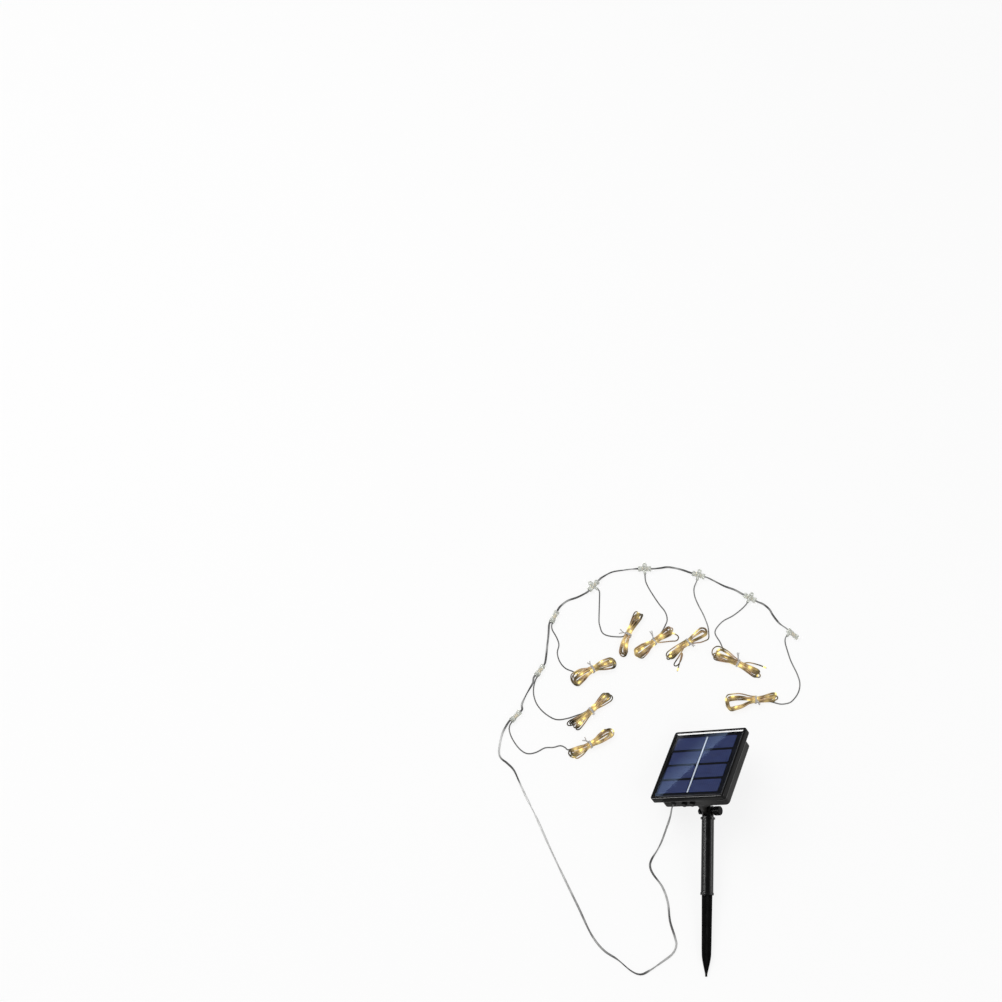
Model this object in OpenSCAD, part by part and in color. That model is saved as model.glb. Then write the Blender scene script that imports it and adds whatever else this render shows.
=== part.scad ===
// Solar light set: a tilting panel head on a ground stake, a lead,
// a ring cable with eight junctions, and eight light strands tied up as hanks.
// The set lies on a flat surface at z = 0, with +Y along the stake towards the head.

/* [Panel head] */
// Width and height of the square front frame
panel_w = 110; // [104:1:122]
// Depth of the front frame
bezel_d = 9; // [8:0.5:11]
// Depth of the whole head, from the front rim to the back of the housing
head_d = 27; // [26:0.5:31]
// How far the rear housing steps in from the front frame
step_in = 6.3; // [5.8:0.1:7.5]
// Corner radius of the front frame
corner_r = 3.5; // [3:0.5:7]
// Corner radius of the rear housing
housing_r = 5; // [4:0.5:7]
// Edge rounding of the front frame and of the rear housing
edge_r = 1.6; // [1:0.1:2]
// Width of the raised rim round the window
rim_w = 3.5; // [2.5:0.1:4]
// Depth of the window surface below the rim
window_sink = 0.6; // [0.3:0.1:1]
// Wall thickness of the rear housing
wall = 2; // [1.6:0.1:2.4]
// Thickness of the back wall of the rear housing
back_wall = 2.2; // [1.8:0.1:2.6]
// Thickness of the seal between front frame and rear housing
gasket_t = 1; // [0.8:0.1:1.4]

/* [Solar cells] */
// Thickness of the clear window
glass_t = 1.7; // [1.2:0.1:2]
// Thickness of a solar cell
cell_t = 0.4; // [0.3:0.1:0.6]
// Thickness of the board that carries the cells
cell_board_t = 1.6; // [1.2:0.1:2]
// Columns of cells
cell_columns = 2; // [2:1:3]
// Rows of cells
cell_rows = 4; // [3:1:5]
// Dark border from the edge of the head to the cells
cell_border = 8.5; // [8:0.1:11]
// Gap between columns, where the collecting ribbon runs
column_gap = 3.8; // [3:0.1:5]
// Gap between rows
row_gap = 1.9; // [1.4:0.1:2.6]
// Width of the collecting ribbon
ribbon_w = 1.7; // [1.2:0.1:2.2]

/* [Housing fittings] */
// Radius of the housing screws
screw_r = 1.5; // [1.2:0.1:1.7]
// Radius of a screw head
screw_head_r = 2.8; // [2.6:0.1:3]
// Height of a screw head
screw_head_h = 1.8; // [1.4:0.1:2]
// Distance of the housing screws from the centre of the head, both ways
screw_at = 40.5; // [39.5:0.1:41]
// Radius of the rechargeable cell
battery_r = 7.1; // [6.5:0.1:7.2]
// Length of the rechargeable cell
battery_l = 49; // [46:0.5:52]
// Place of the rechargeable cell above the centre of the head
battery_y = 14; // [12:0.5:20]
// Radius of the push buttons
button_r = 3.6; // [3:0.1:3.8]
// How far the buttons stand out of the bottom face
button_out = 3.5; // [2.5:0.1:4]
// Travel of the buttons
button_travel = 1.2; // [0.8:0.1:1.4]
// Place of the power button across the bottom face
power_x = -15; // [-18:0.5:-13]
// Place of the mode button across the bottom face
mode_x = -3; // [-5:0.5:0]
// Place of the lead gland across the bottom face
gland_x = -32; // [-35:0.5:-27]

/* [Tilt clamp] */
// How far the tilt axis lies below the centre of the head
pivot_down = 38; // [37:0.5:40]
// How far the tilt axis lies behind the front of the head
pivot_behind = 51; // [50:0.5:56]
// Thickness of the bracket's tongue
tongue_t = 5; // [4:0.1:6]
// Radius of the eye at the end of the tongue and of the fork's prongs
eye_r = 6.5; // [6:0.1:7]
// Radius of the clamp bolt
bolt_r = 2.5; // [2:0.1:2.8]
// Radius of the fork
fork_r = 7.6; // [7.2:0.1:7.8]
// Length of the hand knob
knob_l = 9; // [7:0.5:12]
// Radius of the hand knob
knob_r = 6; // [5.5:0.1:7]

/* [Stake] */
// Outer radius of the stake tube
tube_r = 8; // [7.8:0.1:9]
// Wall thickness of the stake tube
tube_wall = 1; // [0.8:0.1:1.2]
// Length of the stake tube
tube_l = 92; // [80:1:150]
// Radius of the collar on the fork
collar_r = 9.4; // [9.2:0.1:10.5]
// Thickness of the collar on the fork
collar_t = 2.5; // [2:0.1:3.5]
// Length of the pegs that enter the tube
peg_l = 19; // [14:1:24]
// Radius of the ground spike's collar
spike_collar_r = 8.6; // [8.2:0.1:10]
// Thickness of the ground spike's collar
spike_collar_t = 3; // [2:0.1:4]
// Length of the ground spike below its collar
spike_l = 100; // [90:1:130]
// Half width of the spike's fins below the collar
fin_r = 6.7; // [6:0.1:7.2]
// Thickness of the spike's fins
fin_t = 2.6; // [2:0.1:3.2]

/* [Cables and strands] */
// Diameter of the lead and of the ring cable
cable_d = 2.8; // [2.4:0.1:3]
// Diameter of the light strands
strand_d = 1.5; // [1.3:0.05:1.5]
// Distance between neighbouring turns of a hank, in a layer
turn_step = 2.25; // [2.25:0.05:2.4]
// Distance between the layers of a hank
layer_step = 2.1; // [2.1:0.05:2.3]
// Radius of the innermost fold of a hank
fold_r = 4.5; // [4.5:0.1:5]
// Half width of the innermost turn at the tie
waist_r = 1.3; // [1.3:0.05:1.6]
// Light beads on a strand
beads = 13; // [8:1:16]
// Radius of a light bead
bead_r = 1.2; // [1:0.05:1.25]
// Length of a light bead
bead_l = 4.6; // [4:0.1:5]
// Thickness of a tie
tie_t = 0.8; // [0.6:0.1:1]
// Width of a tie
tie_w = 2.4; // [1.8:0.1:3]

/* [Junctions] */
// Radius of a junction's barrel
barrel_r = 3.3; // [3:0.1:3.6]
// Radius of the collars at a junction's ends
lip_r = 3.9; // [3.8:0.1:4.3]
// Length of a junction
junction_l = 18; // [16:0.5:21]
// Length of the collars at a junction's ends
lip_l = 3; // [2.5:0.1:3.5]
// Radius of the hole in a junction's hanging eyelet
eyelet_hole_r = 1.2; // [1:0.05:1.4]
// Radius of a junction's hanging eyelet
eyelet_r = 2.9; // [2.7:0.1:3.2]
// Height of a junction's hanging eyelet
eyelet_h = 2.6; // [2:0.1:3]

/* [Hidden] */
$fn = 48;
// Running clearance between parts that turn or slide in each other
run = 0.1;
// Clearance round the window and round a tie
ease = 0.15;
// Pose in which the set lies: stake pitch, swivel of the fork, tilt of the head
pitch = 9;
swivel = 39;
tilt = 31;
// Place of the spike's point on its own axis
tip = [11.5, -157, 1.7];

// Places on the stake, measured from the tilt axis down the tube
collar_y = -8;
tube_top = collar_y - collar_t - run;
tube_end = tube_top - tube_l;
tip_reach = -tube_end + run + spike_collar_t + spike_l;
bore_r = tube_r - tube_wall;
peg_r = bore_r - run;

function turn_x(a, v) = [v.x, v.y * cos(a) - v.z * sin(a), v.y * sin(a) + v.z * cos(a)];
function turn_y(a, v) = [v.x * cos(a) + v.z * sin(a), v.y, v.z * cos(a) - v.x * sin(a)];
function turn_z(a, v) = [v.x * cos(a) - v.y * sin(a), v.x * sin(a) + v.y * cos(a), v.z];
pivot = tip + turn_x(pitch, [0, tip_reach, 0]);
head_origin = [0, pivot_down, pivot_behind];
function head_turn(v) = turn_x(pitch, turn_y(-swivel, turn_x(-tilt, v)));
function head_point(v) = pivot + head_turn(v + head_origin);

// Levels in the head, from the front rim backwards
glass_top = -window_sink;
cell_top = glass_top - glass_t;
board_top = cell_top - cell_t;
ledge_top = board_top - cell_board_t;
housing_top = -bezel_d - gasket_t;
floor_in = back_wall - head_d;
housing_w = panel_w - 2 * step_in;
window_w = panel_w - 2 * rim_w;
ledge_w = 4;
opening_w = window_w - 2 * ledge_w;
lug_w = 12;
bottom_y = -housing_w / 2;

// Control board, switches and gland
control_t = 1.6;
switch_t = 5;
switch_l = 6;
switch_w = 6.4;
stem_r = 1.7;
stem_in = 0.5;
flange_r = button_r + 0.9;
flange_t = 1;
button_z = floor_in + flange_r + 0.3;
control_z = button_z + switch_t / 2;
switch_y = bottom_y + wall + flange_t + button_travel + 1;
control_y0 = switch_y + 0.4;
control_w = 62;
control_h = 24;
gland_z = floor_in + 4.6;
gland_r = 3.3;
gland_neck_r = 2.5;
gland_lip = 1.2;
boss_r = 3.6;

// Battery tray
tray_t = 1.4;
tray_l = battery_l + 10;
battery_z = floor_in + tray_t + battery_r;

// Bracket plate and its screws
plate_t = 3;
plate_w = 42;
plate_y0 = bottom_y + 2.7;
plate_y1 = plate_y0 + 30;
bracket_screws = [for (x = [-16, 16], y = [plate_y0 + 14, plate_y1 - 5]) [x, y]];
housing_screws = [for (x = [-1, 1], y = [-1, 1]) [x * screw_at, y * screw_at]];
control_posts = [for (x = [-1, 1]) [x * (control_w / 2 - 4), control_y0 + control_h - 4]];

// Junctions: place, direction along the ring, and kind
// kind 0 joins lead and strand at one end, 1 has a side neck and an eyelet, 2 closes the ring
junction_at = [
    [-242, 172, 50, 0],
    [-212, 238, 59, 0],
    [-195, 317, 66, 0],
    [-142, 366, 50, 1],
    [-71, 395, 3, 1],
    [4, 389, -15, 1],
    [75, 358, -27, 1],
    [133, 307, -42, 2]
];
junction_z = lip_r;
split_y = 2;
neck_reach = 8;
neck_r = 1.9;
end_neck_x = -4;
splice = [8, 2.6, 2];

function junction_point(i, v) =
    let (j = junction_at[i]) [j.x, j.y, 0] + turn_z(j.z, v);

// Ports of junction i: where the cable arrives, where it leaves, where the strand starts
function port_in(i, out) =
    junction_point(i, [-junction_l / 2 - out, junction_at[i][3] == 0 ? split_y - 0.6 : 0, junction_z]);
function port_out(i, out) = junction_point(i, [junction_l / 2 + out, 0, junction_z]);
function port_strand(i, out) =
    let (kind = junction_at[i][3])
    kind == 0 ? junction_point(i, [-junction_l / 2 - out, -split_y, junction_z])
    : junction_point(i, [kind == 2 ? end_neck_x : 0, -neck_reach - out, junction_z]);

// Hand-chosen route of the lead, after it leaves the gland and before the first junction
lead_route = [
    [-37, 38, 40], [-39, 30, 34], [-41, 24, 24], [-43, 18, 13], [-46, 10, 4], [-51, 0, 1.5],
    [-58, -12, 1.5], [-60, -21, 1.5], [-56, -31, 1.5], [-44, -47, 1.5], [-37, -66, 1.5],
    [-34, -90, 1.5], [-28, -109, 1.5], [-26, -120, 1.5], [-31, -131, 1.5], [-46, -143, 1.5],
    [-60, -153, 1.5], [-71, -158, 1.5], [-83, -154, 1.5], [-100, -141, 1.5], [-118, -130, 1.5],
    [-134, -111, 1.5], [-151, -78, 1.5], [-170, -42, 1.5], [-190, -3, 1.5], [-209, 36, 1.5],
    [-223, 62, 1.5], [-233, 82, 1.5], [-241, 98, 1.5], [-250, 107, 1.5], [-259, 114, 1.5],
    [-262, 122, 1.5], [-261, 136, 1.5], [-258, 150, 1.8]
];
// Hand-chosen points of the seven stretches of ring cable
ring_routes = [
    [[-234, 191, 1.6], [-228, 206, 1.5], [-221, 220, 2]],
    [[-204, 260, 1.8], [-203, 276, 1.5], [-202, 291, 1.6]],
    [[-186, 335, 1.8], [-177, 343, 1.5], [-163, 349, 1.8]],
    [[-129, 381, 1.8], [-116, 389, 1.5], [-98, 393, 1.6]],
    [[-49, 398, 1.8], [-37, 400, 1.5], [-20, 397, 1.8]],
    [[26, 382, 1.8], [40, 375, 1.5], [54, 370, 1.8]],
    [[94, 350, 1.8], [102, 343, 1.5], [107, 334, 1.5], [115, 323, 2]]
];
// Hand-chosen points of the eight strand leads, from junction to hank
branch_routes = [
    [[-250, 155, 1.4], [-246, 143, 0.8], [-236, 129, 0.8], [-225, 122, 0.8], [-213, 124, 0.8],
     [-201, 131, 0.8], [-190, 132, 0.8], [-180, 127, 1]],
    [[-219, 218, 1.4], [-219, 205, 0.8], [-214, 191, 0.8], [-203, 179, 0.8], [-188, 171, 0.8],
     [-175, 169, 0.8], [-165, 171, 1]],
    [[-197, 299, 1.4], [-191, 289, 0.8], [-187, 278, 0.8], [-189, 266, 0.8], [-185, 253, 0.8],
     [-177, 244, 0.8], [-167, 240, 1]],
    [[-133, 350, 1.4], [-133, 333, 0.8], [-133, 315, 0.8], [-131, 303, 0.8], [-128, 290, 0.8],
     [-122, 279, 0.8], [-113, 275, 1]],
    [[-69, 376, 1.4], [-63, 364, 0.8], [-51, 345, 0.8], [-42, 333, 0.8], [-38, 322, 0.8],
     [-40, 311, 1]],
    [[-2, 370, 1.4], [-1, 358, 0.8], [4, 345, 0.8], [10, 333, 0.8], [14, 323, 1]],
    [[63, 341, 1.4], [51, 331, 0.8], [38, 323, 0.8], [27, 314, 0.8], [20, 304, 0.8],
     [18, 294, 1]],
    [[120, 296, 1.4], [123, 282, 0.8], [130, 266, 0.8], [139, 250, 0.8], [142, 237, 0.8],
     [138, 223, 0.8], [129, 214, 1]]
];
// Hanks: place of the tie, direction, reach to the left and right lobe, mirrored, first step
hank_at = [
    [-141, 137, 211, 36, 32, -1, 5],
    [-141, 184, 47, 36, 36, -1, -1],
    [-140, 243, 27, 33, 33, -1, -1],
    [-93, 295, 69, 32, 38, -1, -1],
    [-57, 287, 39, 34, 32, 1, 6],
    [-11, 288, 36, 37, 33, -1, 4],
    [57, 261, -24, 37, 34, -1, -2],
    [80, 210, 9, 42, 32, -1, 5]
];
// A hank lies on its tie, so its lowest turns are this far above the surface
hank_z = tie_t + ease + strand_d / 2;
steps = 14;
layers = 4;
wound = 1.5 * steps;
layer_steps = wound + steps / 2;
apex = 3.5;
spread = 0.3;
lead_in = 1.2 * strand_d;
widest = 1.5 * turn_step;

function ramp(t) = let (c = min(1, max(0, t))) c * c * (3 - 2 * c);
// Step s counts along the turns: layer, steps into the layer, and the turn's distance from the inside
function hank_layer(s) = max(0, min(layers - 1, floor((s - apex) / layer_steps)));
function into_layer(s) = s - apex - hank_layer(s) * layer_steps;
function turn_offset(s) =
    let (q = into_layer(s), out = hank_layer(s) % 2 == 1)
    let (wind = min(wound, q) / wound, rev = max(0, q - wound) / (steps / 2))
    (out ? wind : 1 - wind) * widest + (out ? 1 : -1) * spread * sin(180 * min(1, rev));
function turn_level(s) =
    hank_layer(s) + ramp((into_layer(s) - wound - 2) / (steps / 2 - 4));
// Outline of one turn: run out along one side, round the right fold, back, and round the left fold
function turn_place(s, o, reach_l, reach_r) =
    let (k = s - steps * floor(s / steps))
    let (half = k < steps / 2 ? 1 : -1, m = half > 0 ? k : k - steps / 2)
    let (reach = half > 0 ? reach_r : reach_l)
    let (xc = reach - fold_r - widest - strand_d / 2, r = fold_r + o)
    let (mid = 0.55 * xc, mid_w = (waist_r + fold_r) / 2 + o)
    let (a = 45 * (m - apex))
    m < 1 ? [half * mid * m, -half * ((waist_r + o) * (1 - m) + mid_w * m)]
    : m < 2 ? let (f = m - 1)
        [half * (mid * (1 - f) + (xc + r * cos(67.5)) * f), -half * (mid_w * (1 - f) + r * sin(67.5) * f)]
    : m <= 5 ? [half * (xc + r * cos(a)), half * r * sin(a)]
    : m < 6 ? let (f = m - 5)
        [half * ((xc + r * cos(67.5)) * (1 - f) + mid * f), half * (r * sin(67.5) * (1 - f) + mid_w * f)]
    : let (f = m - 6) [half * mid * (1 - f), half * (mid_w * (1 - f) + (waist_r + o) * f)];
function hank_local(h, s) =
    let (p = turn_place(s, turn_offset(s), h[3], h[4]))
    [p.x, p.y * h[5], hank_z + layer_step * turn_level(s)];
function hank_world(h, v) = [h.x, h.y, 0] + turn_z(h.z, v);
function hank_steps(h) = [for (s = [h[6] : 1 : apex + layers * layer_steps - steps / 2]) s];
function unit(v) = v / norm(v);
function hank_wire(i) =
    let (h = hank_at[i], first = hank_local(h, h[6]))
    let (along = unit(hank_local(h, h[6] + 0.5) - first))
    concat(
        [hank_world(h, first - [along.x, along.y, 0] * 2 * lead_in)],
        [hank_world(h, first - [along.x, along.y, 0] * lead_in)],
        [for (s = hank_steps(h)) hank_world(h, hank_local(h, s))]
    );

// Least gap of a wire to itself, leaving out its near neighbours along the wire
function segment_gap(a, b, p) =
    let (d = b - a, t = min(1, max(0, (p - a) * d / (d * d)))) norm(p - a - t * d);
function least_gap(w, d) =
    min([for (i = [0 : len(w) - 1], j = [0 : len(w) - 2])
        if (abs(i - j - 0.5) > 5) segment_gap(w[j], w[j + 1], w[i])]) - d;

// Smooth curve through hand-chosen points, and a tube along it
function curve_at(p, i, t) =
    let (a = p[max(0, i - 1)], b = p[i], c = p[i + 1], e = p[min(len(p) - 1, i + 2)])
    0.5 * (2 * b + (c - a) * t + (2 * a - 5 * b + 4 * c - e) * t * t + (3 * b - a - 3 * c + e) * t * t * t);
function smooth(p, gap) = concat(
    [for (i = [0 : len(p) - 2])
        let (n = max(1, round(norm(p[i + 1] - p[i]) / gap)))
        for (k = [0 : n - 1]) curve_at(p, i, k / n)],
    [p[len(p) - 1]]
);
function route_length(p) =
    len(p) < 2 ? 0 : [for (i = 0, s = 0; i < len(p); s = s + (i < len(p) - 1 ? norm(p[i + 1] - p[i]) : 0), i = i + 1) s][len(p) - 1];
function ring_at(w, i, r, sides) =
    let (t = unit(w[min(len(w) - 1, i + 1)] - w[max(0, i - 1)]))
    let (side = unit(cross(t, abs(t.z) > 0.9 ? [0, 1, 0] : [0, 0, 1])), up = cross(side, t))
    [for (k = [0 : sides - 1]) let (a = 360 * (k + 0.5) / sides) w[i] + r * (cos(a) * side + sin(a) * up)];
module tube_along(w, d, sides) {
    n = len(w);
    points = [for (i = [0 : n - 1]) each ring_at(w, i, d / 2, sides)];
    walls = [for (i = [0 : n - 2], k = [0 : sides - 1])
        let (a = i * sides + k, b = i * sides + (k + 1) % sides)
        each [[a, a + sides, b + sides], [a, b + sides, b]]];
    caps = [for (k = [1 : sides - 2]) each [[0, k, k + 1],
        [(n - 1) * sides, (n - 1) * sides + k + 1, (n - 1) * sides + k]]];
    polyhedron(points, concat(walls, caps), convexity = 20);
}

gland_bottom = bottom_y - gland_lip;
function lead_exit(out) = head_point([gland_x, gland_bottom - out, gland_z]);
function lead_points() = concat(
    [lead_exit(-wall - gland_lip), lead_exit(0), lead_exit(6)], lead_route, [port_in(0, 4), port_in(0, -1)]);
function ring_points(i) = concat(
    [port_out(i, -1), port_out(i, 4)], ring_routes[i], [port_in(i + 1, 4), port_in(i + 1, -1)]);
function branch_points(i) = concat(
    [port_strand(i, -1), port_strand(i, 3)], branch_routes[i], [hank_wire(i)[0] - 3 * unit(hank_wire(i)[1] - hank_wire(i)[0]), hank_wire(i)[0]]);

// Frames of reference
module in_stake() {
    translate(pivot) rotate([pitch, 0, 0]) children();
}
module in_fork() {
    in_stake() rotate([0, -swivel, 0]) children();
}
module in_head() {
    in_fork() rotate([-tilt, 0, 0]) translate(head_origin) children();
}

// Rounded square as points, and a block with a rounded front or back edge
function corner_square(w, r, n = 6) = [for (q = [0 : 3], k = [0 : n])
    let (a = 90 * q + 90 * k / n, s = w / 2 - r)
    [(q == 0 || q == 3 ? s : -s) + r * cos(a), (q < 2 ? s : -s) + r * sin(a)]];
module rounded_block(w, r, z_flat, z_round, e) {
    n = 3;
    dir = z_round > z_flat ? 1 : -1;
    insets = concat([[z_flat, 0]], [for (k = [0 : n])
        let (a = 90 * k / n) [z_round - dir * e * (1 - sin(a)), e * (1 - cos(a))]]);
    rings = [for (s = insets) [for (p = corner_square(w - 2 * s[1], max(0.5, r - s[1]))) [p.x, p.y, s[0]]]];
    m = len(rings[0]);
    points = [for (g = rings) each g];
    walls = [for (i = [0 : len(rings) - 2], k = [0 : m - 1])
        let (a = i * m + k, b = i * m + (k + 1) % m)
        each (dir > 0 ? [[a, a + m, b + m], [a, b + m, b]] : [[a, b + m, a + m], [a, b, b + m]])];
    top = (len(rings) - 1) * m;
    ends = dir > 0 ? [[for (k = [0 : m - 1]) k], [for (k = [0 : m - 1]) top + m - 1 - k]]
        : [[for (k = [0 : m - 1]) m - 1 - k], [for (k = [0 : m - 1]) top + k]];
    polyhedron(points, concat(walls, ends), convexity = 4);
}
module square_plate(w, r, z0, z1) {
    translate([0, 0, z0]) linear_extrude(z1 - z0) polygon(corner_square(w, r));
}
module along_x(r, x0, x1) {
    translate([x0, 0, 0]) rotate([0, 90, 0]) cylinder(r = r, h = x1 - x0);
}
module along_y(r, y0, y1) {
    translate([0, y0, 0]) rotate([-90, 0, 0]) cylinder(r = r, h = y1 - y0);
}

// Head pieces
module bezel_frame() {
    color([0.03, 0.03, 0.035]) in_head() difference() {
        rounded_block(panel_w, corner_r, -bezel_d, 0, edge_r);
        square_plate(window_w, corner_r - 2, ledge_top, 1);
        difference() {
            square_plate(opening_w, 1.5, -bezel_d - 1, ledge_top + 1);
            for (p = housing_screws)
                translate([sign(p.x) * opening_w / 2 - lug_w, sign(p.y) * opening_w / 2 - lug_w, -bezel_d - 2])
                    cube([2 * lug_w, 2 * lug_w, bezel_d + 4]);
        }
        for (p = housing_screws) translate([p.x, p.y, -bezel_d - 1]) cylinder(r = screw_r, h = 1 + bezel_d + ledge_top - 1.2);
    }
}
module panel_glass() {
    color([0.75, 0.8, 0.85, 0.3]) in_head() square_plate(window_w - 2 * ease, corner_r - 2, cell_top, glass_top);
}
cell_area = panel_w - 2 * cell_border;
cell_w = (cell_area - (cell_columns - 1) * column_gap) / cell_columns;
cell_h = (cell_area - (cell_rows - 1) * row_gap) / cell_rows;
module solar_cells() {
    color([0.1, 0.14, 0.32]) in_head()
        for (c = [0 : cell_columns - 1], r = [0 : cell_rows - 1])
            translate([-cell_area / 2 + c * (cell_w + column_gap), -cell_area / 2 + r * (cell_h + row_gap), board_top])
                cube([cell_w, cell_h, cell_t]);
}
module bus_ribbon() {
    color([0.85, 0.87, 0.9]) in_head()
        for (c = [1 : cell_columns - 1])
            translate([-cell_area / 2 + c * (cell_w + column_gap) - column_gap / 2 - ribbon_w / 2, -cell_area / 2, board_top])
                cube([ribbon_w, cell_area, cell_t]);
}
module cell_board() {
    color([0.02, 0.02, 0.03]) in_head() square_plate(window_w - 2 * ease, corner_r - 2, ledge_top, board_top);
}
module housing_gasket() {
    color([0.1, 0.1, 0.1]) in_head() difference() {
        square_plate(housing_w, housing_r, housing_top, -bezel_d);
        square_plate(housing_w - 2 * wall, housing_r - wall, housing_top - 1, 1 - bezel_d);
    }
}
module rear_housing() {
    color([0.05, 0.05, 0.055]) in_head() difference() {
        union() {
            difference() {
                rounded_block(housing_w, housing_r, housing_top, -head_d, edge_r);
                square_plate(housing_w - 2 * wall, housing_r - wall, floor_in, housing_top + 1);
            }
            for (p = housing_screws) translate([p.x, p.y, floor_in - 1]) cylinder(r = boss_r, h = housing_top - floor_in + 1);
            for (p = bracket_screws) translate([p.x, p.y, floor_in - 1]) cylinder(r = boss_r, h = 5.5);
            for (p = control_posts) translate([p.x, p.y, floor_in - 1]) cylinder(r = 2.6, h = control_z - floor_in + 1);
        }
        for (p = housing_screws) translate([p.x, p.y, -head_d - 1]) {
            cylinder(r = screw_r + run, h = head_d);
            cylinder(r = screw_head_r + 0.3, h = 1 + head_d + floor_in + 3.2);
        }
        for (p = bracket_screws) translate([p.x, p.y, -head_d - 1]) cylinder(r = screw_r, h = 1 + head_d + floor_in + 3.6);
        for (x = [power_x, mode_x]) translate([x, 0, button_z]) along_y(button_r + run, bottom_y - 1, bottom_y + wall + 1);
        translate([gland_x, 0, gland_z]) along_y(gland_neck_r, bottom_y - 1, bottom_y + wall + 1);
    }
}
module housing_screws() {
    head_z = floor_in + 3.2;
    color([0.6, 0.6, 0.62]) in_head() for (p = housing_screws) translate([p.x, p.y, 0]) {
        translate([0, 0, head_z]) cylinder(r = screw_r, h = ledge_top - 1.2 - 0.3 - head_z);
        difference() {
            translate([0, 0, head_z - screw_head_h]) cylinder(r = screw_head_r, h = screw_head_h);
            cross_slot(head_z - screw_head_h);
        }
    }
}
// Cross recess in a screw head whose outer face is at height z
module cross_slot(z) {
    for (a = [0, 90]) rotate([0, 0, a]) translate([-1.6, -0.35, z - 1]) cube([3.2, 0.7, 1.9]);
}
module battery() {
    nub_r = 2.7;
    nub_h = 1.3;
    color([0.2, 0.45, 0.3]) in_head() translate([-battery_l / 2, battery_y, battery_z]) {
        along_x(battery_r, 0, battery_l - nub_h);
        along_x(nub_r, battery_l - nub_h, battery_l);
    }
}
module battery_tray() {
    tray_r = battery_r + run;
    color([0.12, 0.12, 0.12]) in_head() translate([0, battery_y, battery_z]) difference() {
        translate([-tray_l / 2, -battery_r - tray_t, -battery_r - tray_t])
            cube([tray_l, 2 * (battery_r + tray_t), battery_r + tray_t]);
        along_x(tray_r, -tray_l / 2 + tray_t, tray_l / 2 - tray_t);
        translate([-tray_l / 2 + tray_t, -tray_r, 0]) cube([tray_l - 2 * tray_t, 2 * tray_r, tray_r]);
    }
}
module battery_contacts() {
    plate_s = 9;
    spring_l = tray_l / 2 - tray_t - battery_l / 2;
    color([0.8, 0.75, 0.55]) in_head() translate([0, battery_y, battery_z]) for (s = [-1, 1]) mirror([s < 0 ? 1 : 0, 0, 0]) {
        translate([tray_l / 2 - tray_t - 0.4, -plate_s / 2, -plate_s / 2]) cube([0.4, plate_s, plate_s]);
        for (k = [0 : 2]) translate([battery_l / 2 + k * (spring_l - 0.4) / 3, 0, 0]) rotate([0, 90, 0])
            cylinder(r = 2 + k * 0.7, h = (spring_l - 0.4) / 3);
    }
}
module control_board() {
    color([0.05, 0.3, 0.12]) in_head() translate([-control_w / 2, control_y0, control_z]) cube([control_w, control_h, control_t]);
}
module board_parts() {
    top = control_z + control_t;
    color([0.08, 0.08, 0.08]) in_head() {
        translate([-6, control_y0 + 9, top]) cube([6, 5, 1.6]);
        translate([8, control_y0 + 5, top]) cylinder(r = 3.2, h = 5.6);
        translate([17, control_y0 + 14, top]) cube([3.6, 2.6, 2.2]);
        translate([-20, control_y0 + 14, top]) cube([7, 3, 2.6]);
        translate([22, control_y0 + 6, top]) cylinder(r = 2.4, h = 3.2);
    }
}
module tact_switches() {
    color([0.15, 0.15, 0.15]) in_head() for (x = [power_x, mode_x]) translate([x, 0, button_z]) difference() {
        translate([-switch_w / 2, switch_y, -switch_t / 2]) cube([switch_w, switch_l, switch_t]);
        along_y(stem_r + run, switch_y - 1, switch_y + stem_in + button_travel + 0.4);
    }
}
module push_button(x) {
    color([0.04, 0.04, 0.04]) in_head() translate([x, 0, button_z]) {
        along_y(button_r, bottom_y - button_out + 0.6, bottom_y + wall);
        along_y(button_r - 0.5, bottom_y - button_out, bottom_y - button_out + 0.6);
        along_y(flange_r, bottom_y + wall, bottom_y + wall + flange_t);
        along_y(stem_r, bottom_y + wall + flange_t, switch_y + stem_in);
    }
}
module power_button() { push_button(power_x); }
module mode_button() { push_button(mode_x); }
module cable_gland() {
    color([0.06, 0.06, 0.06]) in_head() translate([gland_x, 0, gland_z]) difference() {
        union() {
            along_y(gland_r, bottom_y - gland_lip, bottom_y);
            along_y(gland_neck_r, bottom_y, bottom_y + wall);
            along_y(gland_r, bottom_y + wall, bottom_y + wall + gland_lip);
        }
        along_y(cable_d / 2, bottom_y - gland_lip - 1, bottom_y + wall + gland_lip + 1);
    }
}
module tilt_bracket() {
    back = -head_d - plate_t;
    color([0.05, 0.05, 0.055]) in_head() difference() {
        union() {
            translate([-plate_w / 2, plate_y0, back]) cube([plate_w, plate_y1 - plate_y0, plate_t]);
            translate([-tongue_t / 2, 0, 0]) rotate([90, 0, 90]) linear_extrude(tongue_t) {
                translate([-pivot_down, -pivot_behind]) circle(eye_r);
                polygon([[-pivot_down - eye_r, -pivot_behind], [-pivot_down + eye_r, -pivot_behind],
                    [plate_y1 - 4, back + 1], [plate_y0 + 1, back + 1]]);
            }
            for (s = [-1, 1]) translate([s * 8 - 1, plate_y0 + 3, back - 3]) cube([2, plate_y1 - plate_y0 - 6, 4]);
        }
        translate([0, -pivot_down, -pivot_behind]) along_x(bolt_r + run, -tongue_t, tongue_t);
        for (p = bracket_screws) translate([p.x, p.y, back - 1]) cylinder(r = screw_r, h = plate_t + 2);
    }
}
module bracket_screws() {
    back = -head_d - plate_t;
    color([0.6, 0.6, 0.62]) in_head() for (p = bracket_screws) translate([p.x, p.y, 0]) {
        translate([0, 0, back]) cylinder(r = screw_r, h = floor_in + 3.3 - back);
        difference() {
            translate([0, 0, back - screw_head_h]) cylinder(r = screw_head_r, h = screw_head_h);
            cross_slot(back - screw_head_h);
        }
    }
}

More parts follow.
